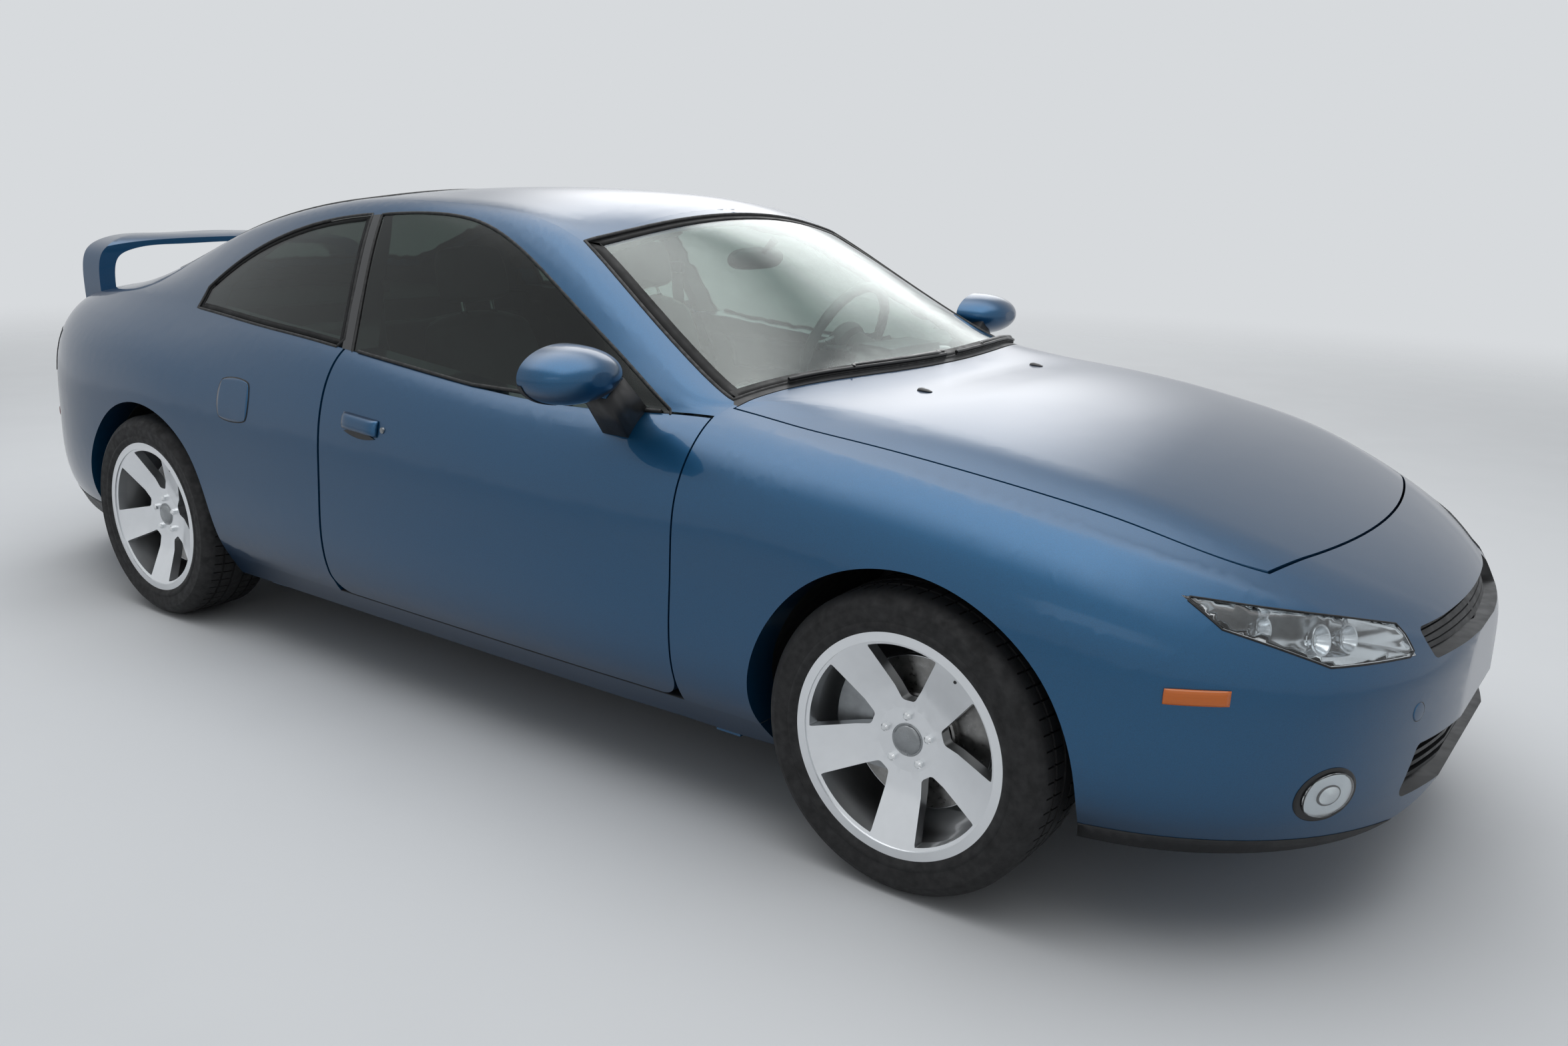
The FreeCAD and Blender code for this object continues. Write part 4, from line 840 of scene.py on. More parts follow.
# Sidewall as (radius, offset), and the tread's groove middles and half widths, in millimetres
TYRE_SIDE = (
    (241, 112.6), (246, 114.8), (251, 117.8), (255.5, 119.2), (259, 118.4), (262, 117.0), (272, 118.8),
    (283, 119.9), (291, 119.2), (293, 119.9), (296, 119.6), (298, 118.2), (305, 114.4), (312, 108.2),
    (317.5, 101.5), (321, 95.5), (323.4, 89.0))
TREAD_GROOVES = (58.0, 20.0, -20.0, -58.0)
GROOVE_HALF = 4.5
# Slots are cut in the faces past this radius and between these offsets, and are so deep, in metres
SLOTTED_RADIUS = 0.3215
SLOTTED_OFFSETS = (0.016, 0.090)
SLOT_DEPTH = 0.0055
# Brake disc and centre cap as (radius, offset outwards) in millimetres
DISC_PROFILE = (
    (66.5, -13.9), (150, -13.9), (153, -14.2), (163.5, -14.2), (165.2, -13.0), (165.2, -4.5),
    (157, -4.2), (157, 2.2), (165.2, 2.5), (165.2, 11.2), (163.5, 12.4), (99, 12.4), (97, 12.2),
    (90, 12.2), (88, 22), (84, 25), (66.5, 25))
CAP_PROFILE = (
    (0.0, 70.5), (16, 70.0), (26, 68.4), (30, 66.5), (31.5, 64), (34, 64.6), (35.5, 63.5), (36, 61.5))


def in_metres(profile):
    return [(r * MM, y * MM) for r, y in profile]


def tread_profile(depth):
    """The tyre's outline from one bead over the tread to the other, as (radius, offset) in metres."""
    def crown(y):
        return 326.0 - 2.2 * (y / 88.0) ** 2

    line = list(TYRE_SIDE)
    for groove in TREAD_GROOVES:
        top, low = groove + GROOVE_HALF, groove - GROOVE_HALF
        base = crown(groove) - depth / MM
        line += [(crown(top), top), (base, top - 0.9), (base, low + 0.9), (crown(low), low)]
    line += [(r, -y) for r, y in reversed(TYRE_SIDE)]
    line += [(229, -103.5), (229, 103.5)]
    return in_metres(line)


class COUPE_OT_tyres(bpy.types.Operator):
    """Fits four tyres with round grooves, cut blocks and a ribbed sidewall"""

    bl_idname = "coupe.tyres"
    bl_label = "Tyres"

    def execute(self, context):
        sizes = sizes_of(context)
        steps = sizes.pitches * 3
        for name, x, side in WHEELS:
            centre = Vector((x, side * WHEEL_Y, WHEEL_Z))
            bm = bmesh.new()
            turned(bm, tread_profile(sizes.groove), centre, (0, side, 0), steps)
            bmesh.ops.recalc_face_normals(bm, faces=bm.faces)
            self.cut_blocks(bm, centre, side, steps)
            piece = finished(bm, "tyre_tread_" + name, "tyre", "wheel_" + name, 32.0)
            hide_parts("tyre_" + name)
        return {"FINISHED"}

    def cut_blocks(self, bm, centre, side, steps):
        """Sinks a slanted slot across every block of the shoulder and middle ribs."""
        pitch = math.tau / steps

        def where(point):
            local = point - centre
            return math.hypot(local.x, local.z), math.atan2(local.z, local.x) % math.tau, local.y * side

        first = min(where(v.co)[1] for v in bm.verts)
        slots = []
        for face in bm.faces:
            r, angle, y = where(face.calc_center_median())
            if r < SLOTTED_RADIUS or not SLOTTED_OFFSETS[0] <= abs(y) <= SLOTTED_OFFSETS[1]:
                continue
            if int((angle - first) / pitch) % 3 == 0:
                slots.append(face)
        marked = {v for f in slots for v in f.verts}
        made = bmesh.ops.extrude_face_region(bm, geom=slots)["geom"]
        sunk = [v for v in made if isinstance(v, bmesh.types.BMVert)]
        for v in sunk:
            radial = Vector((v.co.x - centre.x, 0.0, v.co.z - centre.z))
            v.co -= radial.normalized() * SLOT_DEPTH
        bmesh.ops.delete(bm, geom=[f for f in slots if f.is_valid], context="FACES")
        for v in marked | set(sunk):
            if not v.is_valid:
                continue
            r, angle, y = where(v.co)
            part = (angle - first) / pitch % 3
            squeeze = 0.62 * pitch if abs(part - 1) < 0.3 else 0.0
            slant = 0.30 * (abs(y) - 0.02) if y > 0 else -0.30 * (abs(y) - 0.02)
            turn = Matrix.Rotation(squeeze - slant, 3, "Y")
            v.co = centre + turn @ (v.co - centre)


class COUPE_OT_wheels(bpy.types.Operator):
    """Adds the swept brake discs, wheel nuts, centre caps and valves"""

    bl_idname = "coupe.wheels"
    bl_label = "Wheels and brakes"

    def execute(self, context):
        for name, x, side in WHEELS:
            body = "wheel_" + name
            centre = Vector((x, side * WHEEL_Y, WHEEL_Z))
            out = Vector((0, side, 0))
            lathe("brake_disc_" + name, in_metres(DISC_PROFILE), centre, out, "brake", body, 72, True)
            lathe("centre_cap_" + name, in_metres(CAP_PROFILE), centre, out, "satin_metal", body)
            bm = bmesh.new()
            for i in range(5):
                angle = math.radians(90 + 72 * i)
                foot = centre + Vector((math.cos(angle), 0, math.sin(angle))) * 0.0535
                seat = bmesh.ops.create_circle(bm, segments=6, radius=0.0098)["verts"]
                turn = out.to_track_quat("Z", "Y").to_matrix().to_4x4()
                bmesh.ops.transform(bm, matrix=Matrix.Translation(foot + out * 0.0615) @ turn, verts=seat)
                rod(bm, foot + out * 0.0615, foot + out * 0.0705, 0.0098, segments=6)
                rod(bm, foot + out * 0.0705, foot + out * 0.0735, 0.0085, 0.005, segments=18)
                bmesh.ops.delete(bm, geom=[v for v in seat if v.is_valid], context="VERTS")
            finished(bm, "wheel_nuts_" + name, "chrome", body, 25.0)

            bm = bmesh.new()
            angle = math.radians(54)
            foot = centre + Vector((math.cos(angle), 0, math.sin(angle))) * 0.2085
            rod(bm, foot + out * 0.078, foot + out * 0.092, 0.0055, 0.004)
            rod(bm, foot + out * 0.092, foot + out * 0.104, 0.0036, 0.0036, segments=12)
            finished(bm, "valve_" + name, "satin_black", body)
        return {"FINISHED"}


# Glass edges


CABIN_MIDDLE = Vector((-0.2, 0.0, 0.7))


def surface_frame(tree, line):
    """For each point of a closed line: its place, the way in over the surface, and the normal there."""
    middle = sum(line, Vector()) / len(line)
    framed = []
    for i, point in enumerate(line):
        along = (line[(i + 1) % len(line)] - line[i - 1]).normalized()
        inner = point.lerp(middle, 0.012 / max(0.05, (middle - point).length))
        _, normal, _, _ = tree.find_nearest(inner)
        if normal.dot(point - CABIN_MIDDLE) < 0:
            normal = -normal
        inward = normal.cross(along).normalized()
        if inward.dot(middle - point) < 0:
            inward = -inward
        framed.append((point, inward, normal))
    return framed


def evenly(line, step):
    """A closed line's points set one step apart, keeping its corners."""
    out = []
    for i, point in enumerate(line):
        following = line[(i + 1) % len(line)]
        count = max(1, int((following - point).length / step))
        out += [point.lerp(following, k / count) for k in range(count)]
    return thinned(out, step * 0.35)


class COUPE_OT_glazing(bpy.types.Operator):
    """Adds the rubber seals and the black printed borders of the glass"""

    bl_idname = "coupe.glazing"
    bl_label = "Seals and glass borders"

    def execute(self, context):
        radius = sizes_of(context).seal / 2
        for name, way, width in (
                ("windscreen", (0.5, 0, 0.86), 0.034), ("backlight", (-0.45, 0, 0.9), 0.030)):
            line = self.edge(name, way)
            tree = surface(name)
            self.seal(name + "_seal", tree, line, radius)
            self.border(name + "_border", tree, line, width)
        for side_name, side in SIDES.items():
            pane = "door_glass_" + side_name
            line = self.edge(pane, (0, side, 0.25))
            self.split_seal(side_name, surface(pane), line, radius, "door_" + side_name)
            lines = rim_lines("quarter_glass", (-0.1, side, 0.25))
            line = evenly(next(l for l in lines if l[0].y * side > 0), 0.02)
            tree = surface("quarter_glass")
            self.seal("quarter_seal_" + side_name, tree, line, radius * 0.9)
            self.border("quarter_border_" + side_name, tree, line, 0.020)
        return {"FINISHED"}

    def edge(self, name, way):
        return evenly(rim_lines(name, way)[0], 0.02)

    def seal(self, name, tree, line, radius):
        framed = surface_frame(tree, line)
        path = [p - inward * radius * 0.35 + normal * 0.001 for p, inward, normal in framed]
        tube(name, path, radius, "seal", ROOT, cyclic=True)

    def split_seal(self, side_name, tree, line, radius, door):
        """The seal over a door's glass stays on the body; the one at its foot rides with the door."""
        framed = surface_frame(tree, line)
        belt = [i for i, (p, inward, normal) in enumerate(framed) if inward.z > 0.75]
        count = len(framed)
        start = next(i for i in range(count) if i in belt and (i - 1) % count not in belt)
        order = [(start + k) % count for k in range(count)]
        foot = [framed[i] for i in order if i in belt]
        head = [framed[i] for i in order if i not in belt]
        foot_path = [p + inward * 0.002 + normal * 0.003 for p, inward, normal in foot]
        tube("belt_seal_" + side_name, foot_path, radius * 0.95, "seal", door)
        head_path = [p - inward * 0.0055 + normal * 0.0005 for p, inward, normal in head]
        tube("door_head_seal_" + side_name, head_path, radius * 0.8, "seal", ROOT)

    def border(self, name, tree, line, width):
        """The black ceramic print round the edge of a pane."""
        framed = surface_frame(tree, line)
        lift = 0.0005
        outer = [p + normal * lift for p, _, normal in framed]
        inner = []
        for p, inward, normal in framed:
            aim = p + inward * width
            hit, _, _, _ = tree.ray_cast(aim + normal * 0.02, -normal, 0.06)
            inner.append((hit or aim) + normal * lift)
        piece = skinned(name, [outer, inner], "glass_print", ROOT, cap=False)
        thickened(piece, 0.0004, 0.0)


# Linings from the frame's own faces


def lined(name, nodes, keep, lift, material, body, thickness=0.0015, smooth=35.0):
    """A trim sheet over the faces of CAD nodes that keep() picks, lifted off them along their normals."""
    bm = cad_copy(*nodes)
    bmesh.ops.delete(bm, geom=[f for f in bm.faces if not keep(f, f.calc_center_median())], context="FACES")
    if not bm.faces:
        raise RuntimeError("no faces left for " + name)
    bm.normal_update()
    for v in bm.verts:
        v.co += v.normal * lift
    piece = finished(bm, name, material, body, smooth)
    return thickened(piece, thickness, -1.0)


def in_cabin(p):
    return -1.19 < p.x < 0.91


class COUPE_OT_linings(bpy.types.Operator):
    """Lines the cabin, boot and floor with cloth, moulded panels and carpet"""

    bl_idname = "coupe.linings"
    bl_label = "Linings"

    def execute(self, context):
        lined("headliner", ["roof_panel", "roof_rails"],
              lambda f, p: f.normal.z < -0.35 and in_cabin(p) and p.z > 0.96, 0.0025,
              "headliner", ROOT)
        lined("carpet_floor", ["floor_pan"],
              lambda f, p: f.normal.z > 0.3 and -1.23 < p.x < 0.9, 0.004, "carpet", ROOT)
        lined("carpet_toe_board", ["firewall"],
              lambda f, p: f.normal.x < -0.3 and p.x < 0.91, 0.004, "carpet", ROOT)
        lined("boot_carpet", ["floor_pan", "rear_bulkhead"],
              lambda f, p: (f.normal.z > 0.3 or f.normal.x < -0.5) and -2.2 < p.x < -1.23 and p.z < 0.9,
              0.003, "carpet", ROOT)
        lined("rear_shelf", ["rear_bulkhead"],
              lambda f, p: f.normal.z > 0.5 and p.z > 0.9, 0.003, "carpet", ROOT)
        for side_name, side in SIDES.items():
            lined("rear_side_trim_" + side_name, ["quarter_" + side_name],
                  lambda f, p, side=side: f.normal.y * side < -0.35 and -1.19 < p.x < -0.36 and p.z < 1.3,
                  0.003, "hard_panel", ROOT)
            lined("boot_side_" + side_name, ["quarter_" + side_name],
                  lambda f, p, side=side: f.normal.y * side < -0.3 and p.x < -1.23 and p.z < 0.95,
                  0.003, "carpet", ROOT)
            lined("sill_kick_" + side_name, ["sills"],
                  lambda f, p, side=side: p.y * side > 0 and f.normal.z > 0.5,
                  0.002, "trim", ROOT)
            lined("pillar_trim_" + side_name, ["roof_rails"],
                  lambda f, p, side=side: (
                      f.normal.y * side < -0.3 and p.y * side > 0 and f.normal.z > -0.6 and in_cabin(p)),
                  0.003, "headliner", ROOT)
        return {"FINISHED"}


# Doors


class COUPE_OT_doors(bpy.types.Operator):
    """Adds the outside handles, the moulded door cards and the mirrors' glass"""

    bl_idname = "coupe.doors"
    bl_label = "Doors and mirrors"

    def execute(self, context):
        for side_name, side in SIDES.items():
            door = "door_" + side_name
            self.card(side_name, side, door)
            self.handle(side_name, side, door)
            self.mirror(side_name, side, door)
        return {"FINISHED"}

    def card(self, side_name, side, door):
        """The inner panel with its upper pad, armrest, pocket, loudspeaker and release lever."""
        lined("door_card_" + side_name, [door],
              lambda f, p: f.normal.y * side < -0.5, 0.004, "hard_panel", door, 0.002)
        tree = surface(door)
        inner = lambda x, z, lift: lay_on([(x, 0.35 * side, z)], (0, side, 0), tree, lift)[0]

        def pad(x0, x1, z0, z1, lift, crown, name, material, cuts=8):
            bm = bmesh.new()
            made = bmesh.ops.create_grid(bm, x_segments=cuts * 3, y_segments=cuts, size=0.5)["verts"]
            for v in made:
                u, w = v.co.x * 2, v.co.y * 2
                round_off = (1 - abs(u) ** 6) ** 0.5 * (1 - abs(w) ** 4) ** 0.5
                x = (x0 + x1) / 2 + u * (x1 - x0) / 2
                z = (z0 + z1) / 2 + w * (z1 - z0) / 2
                v.co = inner(x, z, lift * round_off + crown * round_off * (1 - w * w) + 0.003)
            piece = finished(bm, name, material, door, 50.0)
            thickened(piece, 0.003, 1.0 if side > 0 else -1.0)

        pad(-0.24, 0.66, 0.74, 0.865, 0.012, 0.012, "door_upper_pad_" + side_name, "soft_panel")
        pad(-0.22, 0.46, 0.605, 0.68, 0.040, 0.012, "door_armrest_" + side_name, "leather")
        pad(0.0, 0.74, 0.345, 0.45, 0.022, 0.008, "door_pocket_" + side_name, "hard_panel")
        profile = [(0.0, 0.010), (0.03, 0.010), (0.068, 0.006), (0.072, 0.009), (0.080, 0.007), (0.082, 0.0)]
        lathe("door_speaker_" + side_name, profile, inner(0.60, 0.52, 0.006), (0, -side, 0), "satin_black",
              door)
        grip = [inner(x, 0.725, lift) for x, lift in
                ((0.44, 0.004), (0.43, 0.024), (0.40, 0.034), (0.34, 0.036), (0.32, 0.030))]
        tube("door_release_" + side_name, grip, 0.007, "satin_metal", door, smooth_line=True)

    def handle(self, side_name, side, door):
        """A pull flap in the body colour over a dark finger cup, with a lock barrel ahead of it."""
        tree = surface(door)
        outer = lambda x, z, lift: lay_on([(x, 1.2 * side, z)], (0, -side, 0), tree, lift)[0]
        bm = bmesh.new()
        made = bmesh.ops.create_grid(bm, x_segments=24, y_segments=10, size=0.5)["verts"]
        for v in made:
            u, w = v.co.x * 2, v.co.y * 2
            shape = max(0.0, 1 - abs(u) ** 5) ** 0.5 * max(0.0, 1 - abs(w) ** 3) ** 0.5
            v.co = outer(-0.176 + u * 0.072, 0.768 + w * 0.020 - 0.004 * u, 0.0008 + 0.0145 * shape)
        piece = finished(bm, "door_handle_" + side_name, "paint", door, 50.0)
        thickened(piece, 0.003, -1.0 if side > 0 else 1.0)
        bm = bmesh.new()
        made = bmesh.ops.create_grid(bm, x_segments=20, y_segments=6, size=0.5)["verts"]
        for v in made:
            u, w = v.co.x * 2, v.co.y * 2
            v.co = outer(-0.176 + u * 0.066, 0.741 + w * 0.010 * (1 - u * u) - 0.004 * u, 0.0012)
        piece = finished(bm, "door_handle_cup_" + side_name, "satin_black", door, 60.0)
        thickened(piece, 0.0012, -1.0 if side > 0 else 1.0)
        bm = bmesh.new()
        place = outer(-0.083, 0.764, 0.0)
        out = Vector((0, side, 0))
        rod(bm, place - out * 0.004, place + out * 0.0035, 0.0085, 0.0078, 24)
        rod(bm, place, place + out * 0.0042, 0.0045, 0.0042, 16)
        finished(bm, "door_lock_" + side_name, "satin_metal", door)

    def mirror(self, side_name, side, door):
        """Silvered glass in a black frame, and the black foot on the door's corner."""
        node = "mirror_" + side_name
        low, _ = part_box(node)
        centre = Vector((low.x + 0.042, 0.960 * side, 0.998))
        half = (0.095, 0.127, 0.066)

        def is_foot(f, p):
            out = sum(((p[i] - centre[i]) / half[i]) ** 2 for i in range(3))
            return out > 1.10 and p.z < 0.985

        def ring(share, dx):
            return [Vector((low.x + dx, centre.y + math.cos(a) * half[1] * share,
                            centre.z + math.sin(a) * half[2] * share)) for a in around(48)]

        lined("mirror_foot_" + side_name, [node], is_foot, 0.002, "trim", door, 0.002)
        skinned("mirror_frame_" + side_name,
                [ring(0.985, -0.0005), ring(0.95, -0.0045), ring(0.90, -0.0030), ring(0.885, 0.001)],
                "satin_black", door, cap=False)
        skinned("mirror_glass_" + side_name, [ring(0.90, -0.0006), ring(0.90, -0.0016), ring(0.86, -0.0024)],
                "mirror", door)


# Outside fittings


class COUPE_OT_wipers(bpy.types.Operator):
    """Lays two wipers along the foot of the windscreen, and the washer jets on the bonnet"""

    bl_idname = "coupe.wipers"
    bl_label = "Wipers and cowl"

    def execute(self, context):
        strips = surface("wipers")
        line = lambda y: 1.059 - 0.132 * (y / 0.712) ** 2
        for name, start, end in (("right", -0.555, 0.035), ("left", 0.095, 0.635)):
            count = 14
            blade = [lay_on([(line(y), y, 1.2)], (0, 0, -1), strips, -0.009)[0] for y in
                     [start + (end - start) * k / count for k in range(count + 1)]]
            rubber = tube("wiper_rubber_" + name, [p - Vector((0, 0, 0.003)) for p in blade], 0.0032,
                          "seal", ROOT)
            spine = tube("wiper_spine_" + name, [p + Vector((0.001, 0, 0.004)) for p in blade], 0.0046,
                         "satin_black", ROOT)
            pivot = blade[-1] - Vector((0.016, 0, 0.006))
            joint = blade[int(count * 0.42)]
            rise = Vector((-0.009, 0, 0.010))
            bm = bmesh.new()
            path = [(pivot + Vector((0, 0, 0.012)), 0.012, 0.006), (blade[-2] + rise, 0.011, 0.0055),
                    (blade[int(count * 0.75)] + rise, 0.0085, 0.0045), (joint + rise, 0.006, 0.004),
                    (joint + Vector((0, -0.012, 0.008)), 0.005, 0.003)]
            rings = []
            for place, half, thick in path:
                rings.append([place + Vector((math.cos(a) * half, 0, math.sin(a) * thick))
                              for a in around(12)])
            bridged(bm, rings)
            rod(bm, pivot - Vector((0, 0, 0.004)), pivot + Vector((0, 0, 0.019)), 0.013, 0.011, 24)
            arm = finished(bm, "wiper_arm_" + name, "satin_black", ROOT, recalc=True)
            for piece in (rubber, spine, arm):
                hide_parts("wipers")
        bonnet = surface("hood")
        for side_name, side in SIDES.items():
            top = lay_on([(1.19, side * 0.30, 1.3)], (0, 0, -1), bonnet)[0]
            rings = []
            for dx, wide, tall in ((0.022, 0.006, 0.0008), (0.012, 0.009, 0.0045), (-0.004, 0.010, 0.0075),
                                   (-0.012, 0.009, 0.0060), (-0.014, 0.007, 0.0012)):
                rings.append([top + Vector((dx, math.cos(a) * wide, math.sin(a) * tall))
                              for a in around(16)])
            skinned("washer_jet_" + side_name, rings, "satin_black", "hood")
        return {"FINISHED"}


class COUPE_OT_fittings(bpy.types.Operator):
    """Adds the fuel flap, side and fog lamps, tow cap, intake walls, black bands and tail pipe rims"""

    bl_idname = "coupe.fittings"
    bl_label = "Outside fittings"

    def execute(self, context):
        self.fuel_flap()
        for side_name, side in SIDES.items():
            self.side_lamp("side_lamp_front_" + side_name, 2.06, 0.545, side, "amber_lens", "front_bumper")
            self.side_lamp("side_lamp_rear_" + side_name, -2.12, 0.560, side, "red_lens", "rear_bumper")
            self.fog_lamp(side_name, side)
        self.tow_cap()
        self.intake_walls()
        self.black_band("front_lip", "front_bumper", 2.4, 0.246)
        self.black_band("rear_valance", "rear_bumper", -2.4, 0.300)
        self.tail_pipes()
        return {"FINISHED"}

    def fuel_flap(self):
        """A body-coloured flap in a dark shut line on the right rear quarter."""
        tree = surface("quarter_right")
        for name, half_x, half_z, material, slot, lift in (
                ("fuel_flap_gap", 0.0785, 0.0645, "seal", "black_trim", 0.0004),
                ("fuel_flap", 0.0755, 0.0615, "paint", "body_paint", 0.0016)):
            bm = bmesh.new()
            made = bmesh.ops.create_grid(bm, x_segments=16, y_segments=14, size=0.5)["verts"]
            for v in made:
                u, w = v.co.x * 2, v.co.y * 2
                squeeze = (1 - 0.30 * (u * w) ** 2 * max(abs(u), abs(w)) ** 6) ** 0.5
                x, z = -0.765 + u * half_x * squeeze, 0.765 + w * half_z * squeeze
                v.co = lay_on([(x, -1.2, z)], (0, 1, 0), tree, lift)[0]
            thickened(finished(bm, name, material, ROOT, 60.0, recalc=True), 0.0012, 0.0)

    def side_lamp(self, name, x, z, side, material, node):
        tree = surface(node)
        bm = bmesh.new()
        made = bmesh.ops.create_grid(bm, x_segments=16, y_segments=6, size=0.5)["verts"]
        for v in made:
            u, w = v.co.x * 2, v.co.y * 2
            shape = max(0.0, 1 - u ** 4) ** 0.5 * max(0.0, 1 - w ** 4) ** 0.5
            place = (x + u * 0.050, side * 1.2, z + w * 0.014)
            v.co = lay_on([place], (0, -side, 0), tree, 0.0005 + 0.003 * shape)[0]
        piece = finished(bm, name, material, ROOT, 60.0)
        thickened(piece, 0.0025, -1.0 if side > 0 else 1.0)

    def fog_lamp(self, side_name, side):
        """A round lamp behind a flush lens, in a black ring low in the front bumper."""
        tree = surface("front_bumper")

        def disc(name, key, radius, lift, crown, wall):
            bm = bmesh.new()
            made = bmesh.ops.create_grid(bm, x_segments=20, y_segments=20, size=1.0)["verts"]
            for v in made:
                u, w = v.co.x, v.co.y
                a, b = u * math.sqrt(1 - w * w / 2), w * math.sqrt(1 - u * u / 2)
                far = math.hypot(a, b)
                v.co = lay_on([(2.8, side * (0.600 + a * radius), 0.345 + b * radius)], (-1, 0, 0), tree,
                              lift + crown * (1 - far * far))[0]
            thickened(finished(bm, name + side_name, key, ROOT, 50.0), wall, 0.0)

        disc("fog_bezel_", "satin_black", 0.056, 0.0008, 0.0, 0.0012)
        disc("fog_reflector_", "reflector", 0.044, 0.0022, -0.0006, 0.0008)
        disc("fog_ring_", "satin_black", 0.0215, 0.0030, 0.0, 0.0006)
        disc("fog_shield_", "chrome", 0.0185, 0.0040, 0.0016, 0.0006)
        disc("fog_lens_", "clear_lens", 0.0465, 0.0046, 0.0035, 0.0012)

    def tow_cap(self):
        """A round cap in the body colour over the front towing eye's hole, with a lip to lever it out by."""
        tree = surface("front_bumper")
        ring = lay_on([(2.8, -0.395 + 0.024 * math.cos(a), 0.470 + 0.024 * math.sin(a)) for a in around(24)],
                      (-1, 0, 0), tree)
        middle = sum(ring, Vector()) / len(ring)
        way = sum(((ring[k - 1] - middle).cross(ring[k] - middle) for k in range(24)), Vector()).normalized()
        way = way if way.x > 0 else -way
        for name, key, slot, profile in (
                ("tow_cap", "paint", "body_paint",
                 [(0.0, 0.0012), (0.012, 0.0012), (0.0172, 0.0008), (0.0186, -0.0004), (0.0188, -0.004)]),
                ("tow_cap_gap", "seal", "black_trim",
                 [(0.0187, -0.001), (0.0202, -0.001), (0.0202, -0.004)])):
            thickened(lathe(name, profile, middle, way, key, ROOT), 0.001, 0.0)

    def black_band(self, name, node, front, top):
        """A grained black strip round a bumper's lower edge."""
        bm = cad_copy(node)
        bmesh.ops.bisect_plane(
            bm, geom=bm.verts[:] + bm.edges[:] + bm.faces[:], plane_co=(0, 0, top), plane_no=(0, 0, 1),
            clear_outer=True)
        axis = front - 0.8 if front > 0 else front + 0.8
        bm.normal_update()
        inner = []
        for face in bm.faces:
            place = face.calc_center_median()
            if face.normal.dot(Vector((place.x - axis, place.y, 0)).normalized()) < 0.35:
                inner.append(face)
        bmesh.ops.delete(bm, geom=inner, context="FACES")
        bm.normal_update()
        for v in bm.verts:
            v.co += v.normal * 0.0012
        thickened(finished(bm, name, "trim", ROOT), 0.0014, -1.0)

    def intake_walls(self):
        """Black walls in the mouth of the grille and of the lower intake."""
        lined("intake_walls", ["front_bumper"],
              lambda f, p: abs(p.y) < 0.46 and 0.285 < p.z < 0.626 and p.x > 2.19 and abs(f.normal.x) < 0.6,
              0.0008, "satin_black", ROOT, 0.0008)

    def tail_pipes(self):
        """Rolled bright rims on the two tail pipes."""
        low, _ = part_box("exhaust")
        for side_name, side in SIDES.items():
            profile = [(0.0312, 0.07), (0.0305, 0.0), (0.032, -0.004), (0.0355, -0.005), (0.038, -0.002),
                       (0.0385, 0.07), (0.0365, 0.072)]
            lathe("tail_pipe_rim_" + side_name, profile, (low.x, side * 0.330, 0.182), (1, 0, 0), "chrome",
                  ROOT, closed=True)


# Lamps


def smooth_faces(bm, limit=25.0):
    """The faces of a mesh in groups that meet at less than an angle, largest area first."""
    left = set(bm.faces)
    groups = []
    while left:
        group, border = [], [left.pop()]
        while border:
            face = border.pop()
            group.append(face)
            for edge in face.edges:
                if edge.calc_face_angle(9.0) < math.radians(limit):
                    for other in edge.link_faces:
                        if other in left:
                            left.discard(other)
                            border.append(other)
        groups.append(group)
    return sorted(groups, key=lambda g: -sum(f.calc_area() for f in g))


def skin_of(name, side, way):
    """A bmesh of the outer face of the lamp on one side, and one of its remaining faces."""
    parts = []
    for keep_skin in (True, False):
        bm = cad_copy(name)
        other_side = [f for f in bm.faces if f.calc_center_median().y * side < 0]
        bmesh.ops.delete(bm, geom=other_side, context="FACES")
        facing = Vector((way[0], way[1] * side, way[2])).normalized()
        groups = smooth_faces(bm)
        mean = lambda group: sum((f.normal * f.calc_area() for f in group), Vector()).normalized()
        least = 0.15 * sum(f.calc_area() for f in groups[0])
        large = [g for g in groups if sum(f.calc_area() for f in g) > least]
        skin = set(max(large, key=lambda g: mean(g).dot(facing)))
        bmesh.ops.delete(bm, geom=[f for f in bm.faces if (f in skin) != keep_skin], context="FACES")
        parts.append(bm)
    return parts


